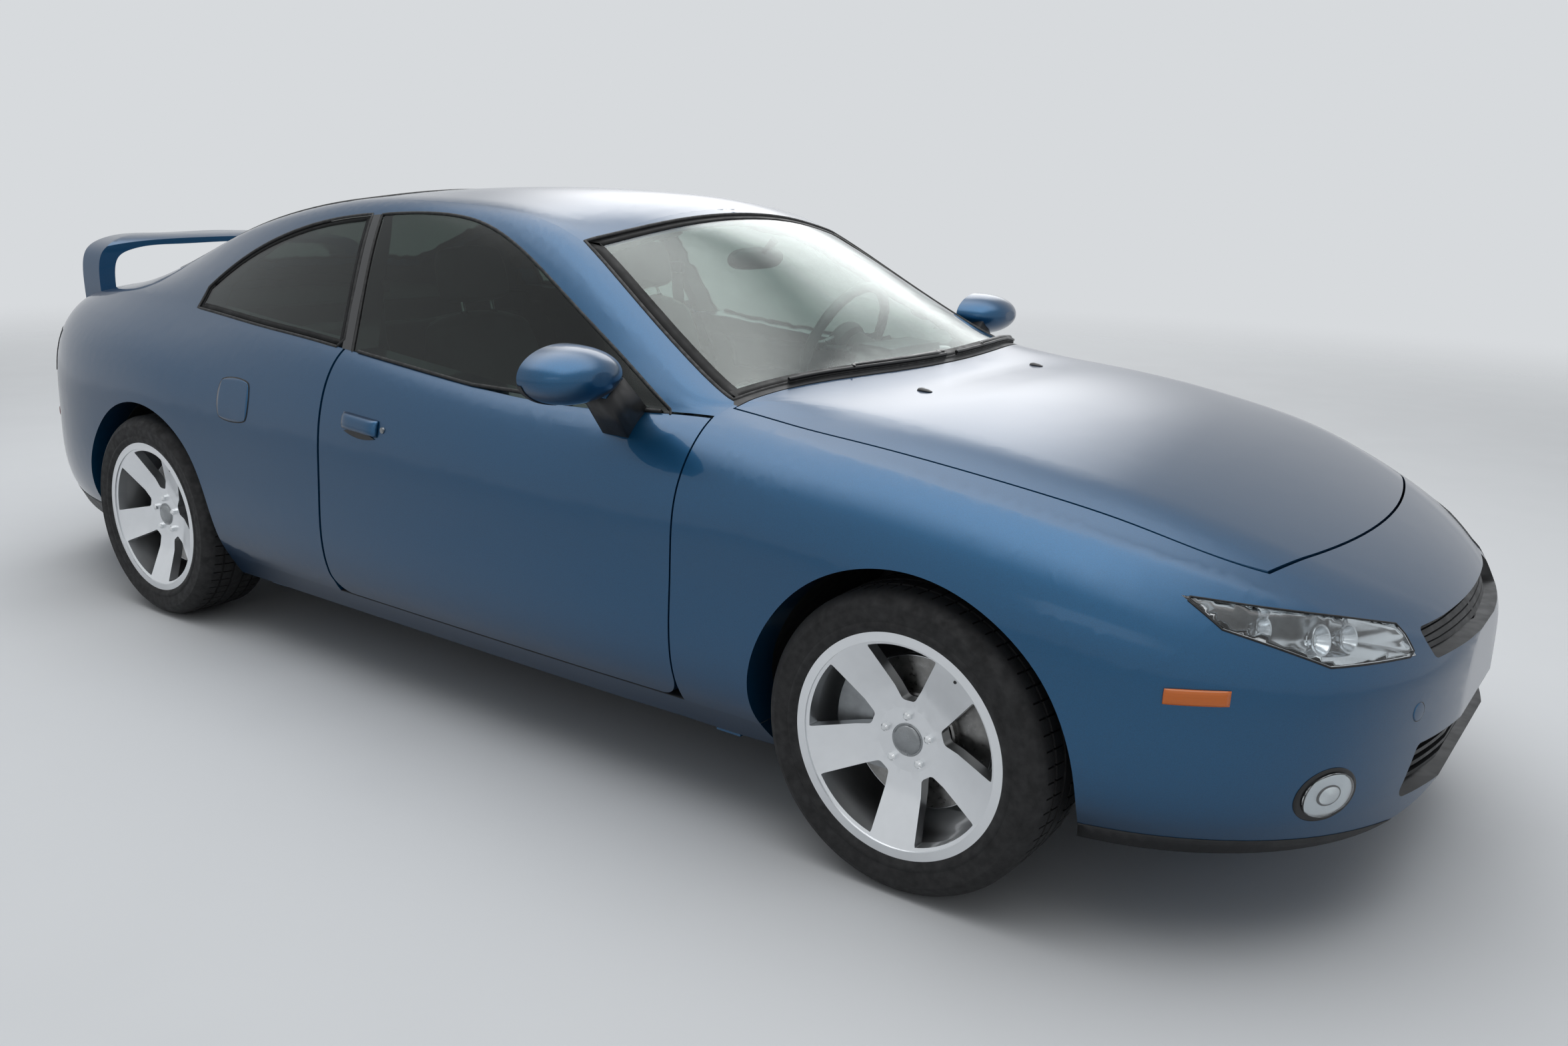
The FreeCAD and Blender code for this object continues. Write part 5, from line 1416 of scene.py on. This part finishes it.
class COUPE_OT_lamps(bpy.types.Operator):
    """Builds the head, tail and high brake lamps: housing, reflectors, lens and seal"""

    bl_idname = "coupe.lamps"
    bl_label = "Lamps"

    def execute(self, context):
        for side_name, side in SIDES.items():
            self.head_lamp(side_name, side)
            self.tail_lamp(side_name, side)
        self.high_brake_lamp()
        return {"FINISHED"}

    def shell(self, name, node, side_name, side, way, lens_key, slot):
        skin, rest = skin_of(node, side, way)
        tree = BVHTree.FromBMesh(skin)
        for v in rest.verts:
            v.co -= v.normal * 0.001
        housing = finished(
            rest, name + "_housing_" + side_name, "reflector" if name == "headlamp" else "satin_black", ROOT)
        thickened(housing, 0.0015, -1.0)
        piece = finished(skin, name + "_lens_" + side_name, lens_key, ROOT)
        thickened(piece, 0.003, -1.0)
        for made in (housing, piece):
            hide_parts(node)
        return tree

    def bowl(self, name, place, way, radius, depth, projector=True):
        """A round parabolic reflector, with a projector lens in a chromed ring where asked."""
        profile = [(radius * t, -depth * (1 - t * t)) for t in (0.16, 0.3, 0.45, 0.6, 0.75, 0.88, 1.0)]
        profile += [(radius + 0.003, 0.0005), (radius + 0.004, -0.003)]
        reflector = lathe(name + "_reflector", profile, place, way, "reflector", ROOT)
        thickened(reflector, 0.001, 0.0)
        if not projector:
            return
        for part, key, closed, shares in (
                ("_projector", "clear_lens", False,
                 ((0.0, 0.42), (0.25, 0.45), (0.44, 0.56), (0.50, 0.68), (0.50, 0.8), (0.0, 0.8))),
                ("_ring", "chrome", True, ((0.49, 0.70), (0.57, 0.60), (0.62, 0.72), (0.55, 0.9)))):
            lathe(name + part, [(radius * r, -depth * d) for r, d in shares], place, way, key, ROOT,
                  36, closed)

    def edge_seal(self, name, node, way, side):
        line = next(l for l in rim_lines(node, way) if l[0].y * side > 0)
        tube(name, evenly(line, 0.015), 0.0022, "seal", ROOT, cyclic=True)

    def head_lamp(self, side_name, side):
        self.shell("headlamp", "headlamps", side_name, side, (0.8, 0.5, 0.35), "clear_lens", "lamp_lens")
        for name, x, y, z, radius in (
                ("main_beam", 2.240, 0.495, 0.617, 0.025), ("low_beam", 2.208, 0.565, 0.626, 0.026),
                ("indicator", 2.120, 0.628, 0.645, 0.020)):
            way = Vector((1.0, 0.30 * side, 0.30)).normalized()
            self.bowl(name + "_" + side_name, Vector((x, y * side, z)), way, radius, 0.030)
        self.edge_seal("headlamp_seal_" + side_name, "headlamps", (0.8, 0.5 * side, 0.35), side)

    def tail_lamp(self, side_name, side):
        tree = self.shell(
            "tail_lamp", "tail_lamps", side_name, side, (-0.9, 0.35, 0.0), "red_lens", "red_lens")
        low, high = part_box("tail_lamps")
        z = (low.z + high.z) / 2
        way = Vector((-1.0, 0.25 * side, 0.0)).normalized()
        for name, y in (("brake_lamp", 0.665), ("tail_light", 0.575)):
            hit, _, _, _ = tree.ray_cast(Vector((-3.0, y * side, z)), Vector((1, 0, 0)))
            if hit is not None:
                self.bowl(name + "_" + side_name, hit + Vector((0.042, 0, 0)), way, 0.031, 0.028, False)
        self.edge_seal("tail_lamp_seal_" + side_name, "tail_lamps", (-0.9, 0.35 * side, 0.0), side)

    def high_brake_lamp(self):
        """A slim red lamp in the rear edge of the spoiler."""
        tree = surface("spoiler")
        _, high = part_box("spoiler")
        section = ((0.004, -0.006), (-0.0025, -0.005), (-0.0035, 0.0), (-0.0025, 0.005), (0.004, 0.006))
        rings = []
        for k in range(13):
            y = -0.14 + 0.28 * k / 12
            hit, _, _, _ = tree.ray_cast(Vector((-3.0, y, high.z - 0.019)), Vector((1, 0, 0)))
            if hit is not None:
                rings.append([hit + Vector((dx, 0, dz)) for dx, dz in section])
        skinned("high_brake_lamp", rings, "red_lens", "deck_lid")


# Seats


def smooth_step(value, low, high):
    t = max(0.0, min(1.0, (value - low) / (high - low)))
    return t * t * (3 - 2 * t)


def upholstered(name, node, place, tilt, half, body, crown, bolster, seams_across, seams_along,
                narrow=0.0, cuts=30):
    """A leather pad with raised sides, sewn channels and rounded corners.

    half is its half length, width and thickness; length runs up a back rest, thickness to the sitter.
    """
    bm = bmesh.new()
    bmesh.ops.create_cube(bm, size=2.0)
    bmesh.ops.subdivide_edges(bm, edges=bm.edges, cuts=cuts, use_grid_fill=True)
    for v in bm.verts:
        u, w, t = v.co
        # Rounded box: pull the corners of a unit cube in
        k = 0.42
        u2 = u * math.sqrt(1 - k * (w * w / 2 + t * t / 2) + k * k * w * w * t * t / 3)
        w2 = w * math.sqrt(1 - k * (u * u / 2 + t * t / 2) + k * k * u * u * t * t / 3)
        t2 = t * math.sqrt(1 - 0.35 * (u ** 8 + w ** 8) / 2)
        wide = half[1] * (1 - narrow * (u * 0.5 + 0.5)) * (1 - 0.02 * (1 - u * u))
        x, y, z = u2 * half[0], w2 * wide, t2 * half[2]
        if t > 0:
            face = smooth_step(t, 0.2, 1.0)
            side = smooth_step(abs(w), 0.50, 0.78) * (1 - smooth_step(abs(w), 0.90, 1.0))
            raised = bolster * side * (1 - 0.5 * smooth_step(u, 0.55, 1.0))
            z += face * (raised + crown * (1 - u * u) * (1 - w * w))
            for seam in seams_across:
                if abs(w) < 0.56:
                    z -= face * 0.006 * math.exp(-(((u - seam) * half[0]) / 0.0075) ** 2)
            for seam in seams_along:
                z -= face * 0.0075 * math.exp(-(((abs(w) - seam) * half[1]) / 0.0075) ** 2)
        v.co = (x, y, z)
    turn = Matrix.Rotation(math.radians(tilt), 4, "Y")
    bmesh.ops.transform(bm, matrix=Matrix.Translation(place) @ turn, verts=bm.verts)
    piece = finished(bm, name, "leather", body, 180.0, recalc=True)
    subdivided(piece, 1)
    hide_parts(node)
    return piece


class COUPE_OT_seats(bpy.types.Operator):
    """Upholsters two front seats and the rear bench in leather"""

    bl_idname = "coupe.seats"
    bl_label = "Seats"

    def execute(self, context):
        for side_name, side in SIDES.items():
            y = side * 0.370
            upholstered("seat_cushion_" + side_name, "front_seats", (0.100, y, 0.400), -3.0,
                        (0.262, 0.246, 0.072), ROOT, 0.006, 0.016, (-0.55, -0.2, 0.15, 0.5), (0.56,), 0.04)
            upholstered("seat_back_" + side_name, "front_seats", (-0.222, y, 0.735), -106.5,
                        (0.300, 0.236, 0.060), ROOT, 0.008, 0.024, (-0.6, -0.3, 0.0, 0.3), (0.54,), 0.16)
            upholstered("head_rest_" + side_name, "front_seats", (-0.312, y, 1.128), -104.0,
                        (0.082, 0.126, 0.040), ROOT, 0.004, 0.0, (), (), 0.10, 14)
            upholstered("rear_cushion_" + side_name, "rear_seat", (-0.805, side * 0.315, 0.372), -4.0,
                        (0.255, 0.262, 0.076), ROOT, 0.008, 0.012, (-0.5, -0.1, 0.3), (0.56,), 0.02)
            upholstered("rear_back_" + side_name, "rear_seat", (-1.085, side * 0.300, 0.660), -99.0,
                        (0.258, 0.250, 0.052), ROOT, 0.006, 0.012, (-0.5, -0.15, 0.2), (0.56,), 0.08)
            self.base(side_name, y)
            self.belt(side_name, side)
        boxed("rear_divider", "hard_panel", "inside_trim", 0.015, 4,
              ((-1.10, -0.052, 0.24), (-0.60, 0.052, 0.395)))
        boxed("rear_seat_shell", "hard_panel", "inside_trim", 0.012, 3,
              ((-1.165, -0.56, 0.26), (-1.10, 0.56, 0.90)), ((-1.06, -0.585, 0.238), (-0.60, 0.585, 0.31)))
        return {"FINISHED"}

    def base(self, side_name, y):
        """The rails, side skirt, recliner covers and head rest posts."""
        bm = bmesh.new()
        block(bm, (-0.16, y - 0.20, 0.262), (0.31, y + 0.20, 0.335))
        for dy in (-0.185, 0.185):
            block(bm, (-0.19, y + dy - 0.022, 0.237), (0.335, y + dy + 0.022, 0.262), 1)
        for dy in (-0.243, 0.243):
            rod(bm, (-0.135, y + dy - 0.012, 0.425), (-0.135, y + dy + 0.012, 0.425), 0.052, segments=32)
            block(bm, (-0.15, y + dy - 0.010, 0.32), (0.20, y + dy + 0.010, 0.405))
        rounded(finished(bm, "seat_base_" + side_name, ["hard_panel", "zinc"], ROOT), 0.006, 3)
        bm = bmesh.new()
        for dy in (-0.055, 0.055):
            rod(bm, (-0.283, y + dy, 1.015), (-0.302, y + dy, 1.085), 0.006, segments=16)
            rod(bm, (-0.281, y + dy, 1.012), (-0.285, y + dy, 1.024), 0.012, 0.010, segments=20, material=1)
        finished(bm, "head_rest_posts_" + side_name, ["chrome", "hard_panel"], ROOT)

    def belt(self, side_name, side):
        """A woven seat belt from the pillar guide down to its buckle."""
        path = ((-0.395, 0.640, 1.105), (-0.375, 0.652, 0.92), (-0.365, 0.660, 0.65), (-0.360, 0.655, 0.34))
        section = ((-0.023, 0.0), (0.023, 0.0), (0.023, -0.0013), (-0.023, -0.0013))
        rings = [[Vector((x + dx, side * (y + dy), z)) for dx, dy in section] for x, y, z in path]
        skinned("seat_belt_" + side_name, rings, "thread", ROOT)
        y = side * 0.636
        boxed("belt_guide_" + side_name, "hard_panel", "inside_trim", 0.006, 3,
              ((-0.430, y - 0.010, 1.085), (-0.360, y + 0.014, 1.125)))
        y = side * 0.118
        boxed("belt_buckle_" + side_name, ["hard_panel", "red_lens"], "inside_trim", 0.003, 2,
              ((-0.125, y - 0.014, 0.40), (-0.08, y + 0.014, 0.50)),
              ((-0.116, y - 0.008, 0.5), (-0.089, y + 0.008, 0.503), 1))


# Dashboard and controls

WHEEL_CENTRE = Vector((0.520, 0.370, 0.940))
WHEEL_AXES = Matrix(((0.4067, 0.0, -0.9135), (0.0, 1.0, 0.0), (0.9135, 0.0, 0.4067))).to_4x4()


class COUPE_OT_dashboard(bpy.types.Operator):
    """Builds the dashboard, console, steering wheel, pedals and mirror of the cabin"""

    bl_idname = "coupe.dashboard"
    bl_label = "Dashboard and controls"

    def execute(self, context):
        self.panel()
        self.dials()
        self.centre_stack()
        self.console()
        self.steering_wheel()
        self.small_parts()
        return {"FINISHED"}

    def panel(self):
        bm = cad_copy("dashboard")
        bmesh.ops.dissolve_limit(bm, angle_limit=math.radians(2), verts=bm.verts, edges=bm.edges)
        piece = finished(bm, "dashboard_body", "soft_panel", ROOT, 35.0)
        rounded(piece, 0.009, 4, 28.0)
        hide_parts("dashboard")
        boxed("glove_box_and_strip", ["satin_metal", "soft_panel"], "inside_trim", 0.004, 3,
              ((0.632, -0.60, 0.795), (0.662, 0.20, 0.806)),
              ((0.640, -0.56, 0.655), (0.662, -0.16, 0.745), 1))
        boxed("glove_box_latch", "satin_black", "inside_trim", 0.003, 2,
              ((0.634, -0.40, 0.722), (0.643, -0.32, 0.736)))
        for name, y in (("right", -0.545), ("left", 0.575), ("centre_right", -0.075), ("centre_left", 0.075)):
            self.vent(name, y)

    def vent(self, name, y):
        """A rectangular air outlet with slats."""
        bm = bmesh.new()
        block(bm, (0.641, y - 0.050, 0.822), (0.655, y + 0.050, 0.872))
        front = [f for f in bm.faces if f.normal.x < -0.9]
        bmesh.ops.inset_region(bm, faces=front, thickness=0.004, depth=0.0)
        bmesh.ops.inset_region(bm, faces=front, thickness=0.001, depth=-0.010)
        for k in range(5):
            z = 0.831 + k * 0.0083
            block(bm, (0.644, y - 0.045, z - 0.0008), (0.652, y + 0.045, z + 0.0008))
        block(bm, (0.643, y - 0.003, 0.826), (0.650, y + 0.003, 0.868))
        rounded(finished(bm, "vent_" + name, "satin_black", ROOT), 0.0012, 2)

    def dials(self):
        """Two large dials and two small ones under the hood of the instruments."""
        way = Vector((-0.97, 0, 0.24)).normalized()
        up = Vector((0.24, 0, 0.97)).normalized()
        for name, y, radius in (("speed", 0.425, 0.050), ("revs", 0.315, 0.050), ("fuel", 0.488, 0.024),
                                ("heat", 0.252, 0.024)):
            centre = Vector((0.655, y, 0.895 if radius > 0.03 else 0.885))
            face = [(0.0, 0.0), (radius * 0.8, 0.0), (radius, 0.0005), (radius, -0.006), (0.0, -0.006)]
            lathe("dial_face_" + name, face, centre, way, "screen", ROOT)
            rim = [(radius, -0.004), (radius * 1.02, 0.007), (radius * 1.08, 0.008), (radius * 1.10, -0.004)]
            lathe("dial_ring_" + name, rim, centre, way, "satin_metal", ROOT, closed=True)
            bm = bmesh.new()
            for k in range(13):
                a = math.radians(-130 + 260 * k / 12)
                out = up * math.cos(a) + Vector((0, -1, 0)) * math.sin(a)
                rod(bm, centre + out * radius * 0.80 + way * 0.001,
                    centre + out * radius * 0.93 + way * 0.001, 0.0008, segments=6)
            a = math.radians(-118)
            out = up * math.cos(a) + Vector((0, -1, 0)) * math.sin(a)
            rod(bm, centre + way * 0.003 - out * radius * 0.12, centre + way * 0.003 + out * radius * 0.78,
                0.0014, 0.0006, segments=8, material=1)
            rod(bm, centre, centre + way * 0.006, radius * 0.10, segments=20, material=2)
            finished(bm, "dial_marks_" + name, ["dial", "red_lens", "satin_black"], ROOT)

    def centre_stack(self):
        """A blank display, three rotary controls and a row of keys above the console."""
        bm = bmesh.new()
        block(bm, (0.640, -0.115, 0.700), (0.664, 0.115, 0.812), 0)
        block(bm, (0.6375, -0.080, 0.745), (0.642, 0.080, 0.806), 1)
        for k in range(6):
            y = -0.075 + 0.03 * k
            block(bm, (0.6355, y - 0.0125, 0.726), (0.642, y + 0.0125, 0.738), 2)
        piece = finished(bm, "centre_stack", ["gloss_black", "screen", "satin_black"], ROOT)
        rounded(piece, 0.0018, 2)
        bm = bmesh.new()
        for y in (-0.075, 0.0, 0.075):
            rod(bm, (0.648, y, 0.710), (0.628, y, 0.706), 0.0165, 0.0150, 32)
            rod(bm, (0.629, y, 0.706), (0.6265, y, 0.7055), 0.012, 0.012, 24, 1)
        piece = finished(bm, "rotary_controls", ["satin_black", "satin_metal"], ROOT)
        rounded(piece, 0.001, 2)

    def console(self):
        """Gear lever and gaiter, cup holders, hand brake and a padded arm rest."""
        boxed("console_top", "gloss_black", "inside_trim", 0.006, 3,
              ((0.05, -0.088, 0.452), (0.47, 0.088, 0.470)))
        rings = []
        for dz, rx, ry in (
                (0.0, 0.052, 0.045), (0.010, 0.046, 0.040), (0.020, 0.043, 0.037), (0.030, 0.034, 0.030),
                (0.038, 0.031, 0.027), (0.050, 0.022, 0.020), (0.062, 0.014, 0.013), (0.075, 0.0105, 0.0105)):
            rings.append([Vector((0.375 - dz * 0.12 + rx * math.cos(a) * (1 + 0.04 * math.cos(9 * a)),
                                  ry * math.sin(a) * (1 + 0.04 * math.cos(9 * a)), 0.470 + dz))
                          for a in around(54)])
        skinned("gear_gaiter", rings, "leather", ROOT)
        bm = bmesh.new()
        rod(bm, (0.368, 0, 0.535), (0.360, 0, 0.585), 0.0065, segments=16, material=1)
        knob = [(0.0, 0.050), (0.010, 0.0485), (0.019, 0.042), (0.0235, 0.031), (0.024, 0.022),
                (0.020, 0.010), (0.014, 0.003), (0.012, 0.0), (0.0, 0.0)]
        turned(bm, knob, (0.361, 0, 0.580), (-0.12, 0, 1.0), 36, closed=False)
        finished(bm, "gear_lever", ["leather", "satin_metal"], ROOT, recalc=True)
        bm = bmesh.new()
        for x in (0.170, 0.262):
            turned(bm, [(0.040, 0.0022), (0.0435, 0.003), (0.0455, 0.0), (0.036, -0.002), (0.034, 0.0005)],
                   (x, 0.02, 0.470), (0, 0, 1), 40)
        finished(bm, "cup_holder_rings", "satin_metal", ROOT, recalc=True)
        bm = bmesh.new()
        for x in (0.170, 0.262):
            turned(bm, [(0.0, 0.0008), (0.036, 0.0008), (0.036, -0.001), (0.0, -0.001)],
                   (x, 0.02, 0.470), (0, 0, 1), 32, closed=False)
        finished(bm, "cup_holder_mats", "seal", ROOT, recalc=True)
        grip = ((0.25, -0.062, 0.470), (0.20, -0.062, 0.490), (0.12, -0.062, 0.505), (0.06, -0.062, 0.512))
        tube("hand_brake", grip, 0.0125, "leather", ROOT, resolution=4, smooth_line=True)
        upholstered("arm_rest", "dashboard", (0.005, 0.0, 0.487), 0.0, (0.115, 0.080, 0.030), ROOT, 0.004,
                    0.0, (), (0.72,), 0.0, 16)

    def steering_wheel(self):
        """A leather-bound three-spoke wheel with a blank centre pad, its column and two stalks."""
        place = Matrix.Translation(WHEEL_CENTRE) @ WHEEL_AXES

        def placed(bm, name, material, smooth=35.0):
            bmesh.ops.transform(bm, matrix=place, verts=bm.verts)
            piece = finished(bm, name, material, ROOT, smooth, recalc=True)
            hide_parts("steering_wheel")

        bm = bmesh.new()
        profile = [(0.185 + 0.0145 * math.cos(a), 0.0165 * math.sin(a)) for a in around(16)]
        turned(bm, profile, (0, 0, 0), (0, 0, 1), 96)
        placed(bm, "steering_rim", "leather", 60.0)
        bm = bmesh.new()
        for angle in (90, -90, 180):
            a = math.radians(angle)
            out = Vector((math.cos(a), math.sin(a), 0))
            across = Vector((-math.sin(a), math.cos(a), 0))
            rings = []
            for r, wide, dz, thick in ((0.050, 0.030, 0.004, 0.012), (0.090, 0.020, 0.002, 0.009),
                                       (0.135, 0.0165, 0.0, 0.008), (0.180, 0.0185, 0.0, 0.009)):
                rings.append([out * r + across * wide * math.cos(b) + Vector((0, 0, dz + thick * math.sin(b)))
                              for b in around(20)])
            bridged(bm, rings)
        placed(bm, "steering_spokes", "satin_metal")
        bm = bmesh.new()
        rings = []
        for r, dz in (
                (0.058, -0.024), (0.070, -0.018), (0.074, 0.002), (0.070, 0.016), (0.055, 0.024),
                (0.028, 0.027)):
            rings.append([Vector((r * 0.86 * math.cos(a), r * 1.06 * math.sin(a), dz)) for a in around(48)])
        bridged(bm, rings)
        placed(bm, "steering_pad", "soft_panel", 50.0)
        bm = bmesh.new()
        rings = []
        for dz, r in ((-0.028, 0.040), (-0.036, 0.050), (-0.09, 0.054), (-0.16, 0.060)):
            rings.append([Vector((r * math.cos(a), r * 0.9 * math.sin(a), dz)) for a in around(40)])
        bridged(bm, rings)
        rod(bm, (0, 0.03, -0.055), (0.02, 0.175, -0.045), 0.0065, 0.0085, 16)
        rod(bm, (0, -0.03, -0.055), (0.02, -0.175, -0.045), 0.0065, 0.0085, 16)
        placed(bm, "steering_column", "hard_panel")

    def small_parts(self):
        """Pedals, the mirror on the windscreen and the sun visors."""
        bm = bmesh.new()
        for y, wide in ((0.315, 0.03), (0.405, 0.045), (0.485, 0.024)):
            block(bm, (0.745, y - wide, 0.355), (0.757, y + wide, 0.420 if wide > 0.025 else 0.46), 0)
            for k in range(5):
                block(bm, (0.741, y - wide + 0.004, 0.362 + k * 0.012),
                      (0.746, y + wide - 0.004, 0.367 + k * 0.012), 0)
            block(bm, (0.752, y - 0.007, 0.42), (0.764, y + 0.007, 0.60), 1)
        rounded(finished(bm, "pedals", ["seal", "zinc"], ROOT), 0.0015, 2)
        tree = surface("windscreen")
        hit, _, _, _ = tree.ray_cast(Vector((0.52, 0, 1.0)), Vector((0, 0, 1)))
        top = hit if hit is not None else Vector((0.52, 0, 1.24))
        def ring(share, dx):
            return [Vector((top.x - 0.055 + dx,
                            math.copysign(abs(math.cos(a)) ** 0.6, math.cos(a)) * 0.118 * share,
                            top.z - 0.062 + math.sin(a) * 0.030 * share)) for a in around(48)]

        bm = bmesh.new()
        bridged(bm, [ring(share, dx) for dx, share in
                     ((-0.022, 0.92), (-0.020, 1.0), (0.0, 0.98), (0.014, 0.70), (0.020, 0.35))])
        rod(bm, (top.x - 0.040, 0, top.z - 0.045), (top.x - 0.002, 0, top.z - 0.010), 0.007, 0.012, 16)
        finished(bm, "cabin_mirror_shell", "hard_panel", ROOT, recalc=True)
        skinned("cabin_mirror_glass", [ring(0.86, -0.0218), ring(0.86, -0.0232), ring(0.80, -0.0238)],
                "mirror", ROOT)
        roof = surface("roof_panel", "roof_rails")
        for side_name, side in SIDES.items():
            under = lambda x, y, drop: lay_on([(x, y, 1.0)], (0, 0, 1), roof, drop)[0]
            rings = []
            for k in range(13):
                u = -1 + k / 6
                wide = 0.082 * max(0.05, 1 - abs(u) ** 8) ** 0.5
                y = side * 0.33 + u * 0.185
                mid = under(0.262, y, 0.022)
                rings.append([mid + Vector((math.copysign(abs(math.cos(a)) ** 0.5, math.cos(a)) * wide, 0,
                                            math.sin(a) * 0.009 - math.cos(a) * wide * 0.32))
                              for a in around(24)])
            skinned("sun_visor_" + side_name, rings, "headliner", ROOT, smooth=50.0)


# Under the bonnet


class COUPE_OT_engine_bay(bpy.types.Operator):
    """Dresses the engine and its bay: cover, battery, air box and pipe, radiator, hose and coolant tank"""

    bl_idname = "coupe.engine_bay"
    bl_label = "Engine bay"

    def execute(self, context):
        low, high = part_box("engine_block")
        self.cover(low, high)
        self.bay_parts()
        return {"FINISHED"}

    def cover(self, low, high):
        """A ribbed plastic cover between two cast cam boxes, and the oil cap."""
        x0, x1 = low.x + 0.06, high.x - 0.05
        top = high.z
        bm = bmesh.new()
        block(bm, (x0, -0.150, top - 0.002), (x1, 0.150, top + 0.026))
        for k in range(9):
            x = x0 + 0.045 + (x1 - x0 - 0.09) * k / 8
            block(bm, (x - 0.008, -0.118, top + 0.024), (x + 0.008, 0.118, top + 0.032))
        rounded(finished(bm, "engine_cover", "satin_black", ROOT), 0.006, 3)
        bm = bmesh.new()
        for side in (1, -1):
            block(bm, (x0 - 0.02, side * 0.215 - 0.05, top - 0.003), (x1, side * 0.215 + 0.05, top + 0.016))
            for k in range(4):
                x = x0 + 0.05 + (x1 - x0 - 0.10) * k / 3
                rod(bm, (x, side * 0.215, top + 0.014), (x, side * 0.215, top + 0.021), 0.009,
                    segments=6, material=1)
        rounded(finished(bm, "cam_boxes", ["raw_alloy", "zinc"], ROOT), 0.008, 3)
        profile = [(0.0, 0.040), (0.018, 0.040), (0.024, 0.036), (0.025, 0.014), (0.030, 0.012), (0.030, 0.0),
                   (0.0, 0.0)]
        lathe("oil_cap", profile, (x0 + 0.12, -0.215, top + 0.012), (0, 0, 1), "satin_black", ROOT,
              32)

    def bay_parts(self):
        bm = bmesh.new()
        block(bm, (1.02, 0.36, 0.66), (1.20, 0.50, 0.80), 0)
        block(bm, (1.02, 0.36, 0.80), (1.20, 0.50, 0.812), 0)
        for y in (0.385, 0.475):
            rod(bm, (1.05, y, 0.812), (1.05, y, 0.828), 0.009, 0.008, 20, 1)
            block(bm, (1.035, y - 0.012, 0.814), (1.065, y + 0.012, 0.822), 1)
        block(bm, (1.01, 0.35, 0.655), (1.21, 0.51, 0.665), 1)
        rounded(finished(bm, "battery", ["satin_black", "zinc"], ROOT), 0.004, 3)
        boxed("air_box", "satin_black", "black_trim", 0.018, 4, ((1.86, -0.46, 0.52), (2.04, -0.22, 0.64)))
        pipe = ((1.90, -0.34, 0.64), (1.86, -0.30, 0.70), (1.78, -0.20, 0.74), (1.74, -0.08, 0.77),
                (1.70, 0.0, 0.80))
        tube("intake_pipe", pipe, 0.036, "trim", ROOT, resolution=6, smooth_line=True)
        hose = ((2.09, 0.20, 0.60), (2.02, 0.20, 0.66), (1.92, 0.17, 0.70), (1.82, 0.12, 0.74),
                (1.77, 0.10, 0.74))
        tube("top_hose", hose, 0.019, "seal", ROOT, resolution=5, smooth_line=True)
        bm = bmesh.new()
        block(bm, (2.085, -0.32, 0.30), (2.125, 0.32, 0.625), 0)
        for k in range(40):
            y = -0.305 + 0.61 * k / 39
            block(bm, (2.078, y - 0.002, 0.33), (2.086, y + 0.002, 0.60), 1)
        rounded(finished(bm, "radiator", ["satin_black", "raw_alloy"], ROOT), 0.004, 2)
        rings = []
        for z, r in ((0.62, 0.055), (0.70, 0.060), (0.735, 0.052), (0.75, 0.03)):
            rings.append([Vector((1.075 + r * math.cos(a), -0.43 + r * 0.8 * math.sin(a), z))
                          for a in around(32)])
        skinned("coolant_tank", rings, "tank", ROOT)
        profile = [(0.0, 0.024), (0.020, 0.024), (0.026, 0.020), (0.026, 0.0), (0.0, 0.0)]
        lathe("coolant_cap", profile, (1.075, -0.43, 0.748), (0, 0, 1), "satin_black", ROOT, 24)


CLASSES = [
    CoupeFinish, CoupeSizes, COUPE_OT_frame, COUPE_OT_stage, COUPE_OT_tyres, COUPE_OT_wheels,
    COUPE_OT_glazing, COUPE_OT_linings, COUPE_OT_doors, COUPE_OT_wipers, COUPE_OT_fittings,
    COUPE_OT_lamps, COUPE_OT_seats, COUPE_OT_dashboard, COUPE_OT_engine_bay]


class COUPE_PT_panel(bpy.types.Panel):
    """Lists the car's settings and the steps that make it"""

    bl_idname = "COUPE_PT_panel"
    bl_label = "Coupe car"
    bl_space_type = "VIEW_3D"
    bl_region_type = "UI"
    bl_category = "Coupe"

    def draw(self, context):
        for group in (finish_of(context), sizes_of(context)):
            for name in group.__annotations__:
                self.layout.prop(group, name)
        for step in STEPS:
            self.layout.operator(step.bl_idname)


STEPS = [c for c in CLASSES if issubclass(c, bpy.types.Operator)]
CLASSES.append(COUPE_PT_panel)


def register():
    for each in CLASSES:
        bpy.utils.register_class(each)
    bpy.types.Scene.coupe_finish = PointerProperty(type=CoupeFinish)
    bpy.types.Scene.coupe_sizes = PointerProperty(type=CoupeSizes)


def unregister():
    del bpy.types.Scene.coupe_finish
    del bpy.types.Scene.coupe_sizes
    for each in reversed(CLASSES):
        bpy.utils.unregister_class(each)


def main():
    register()
    for step in STEPS:
        group, name = step.bl_idname.split(".")
        getattr(getattr(bpy.ops, group), name)()


if __name__ == "__main__":
    main()
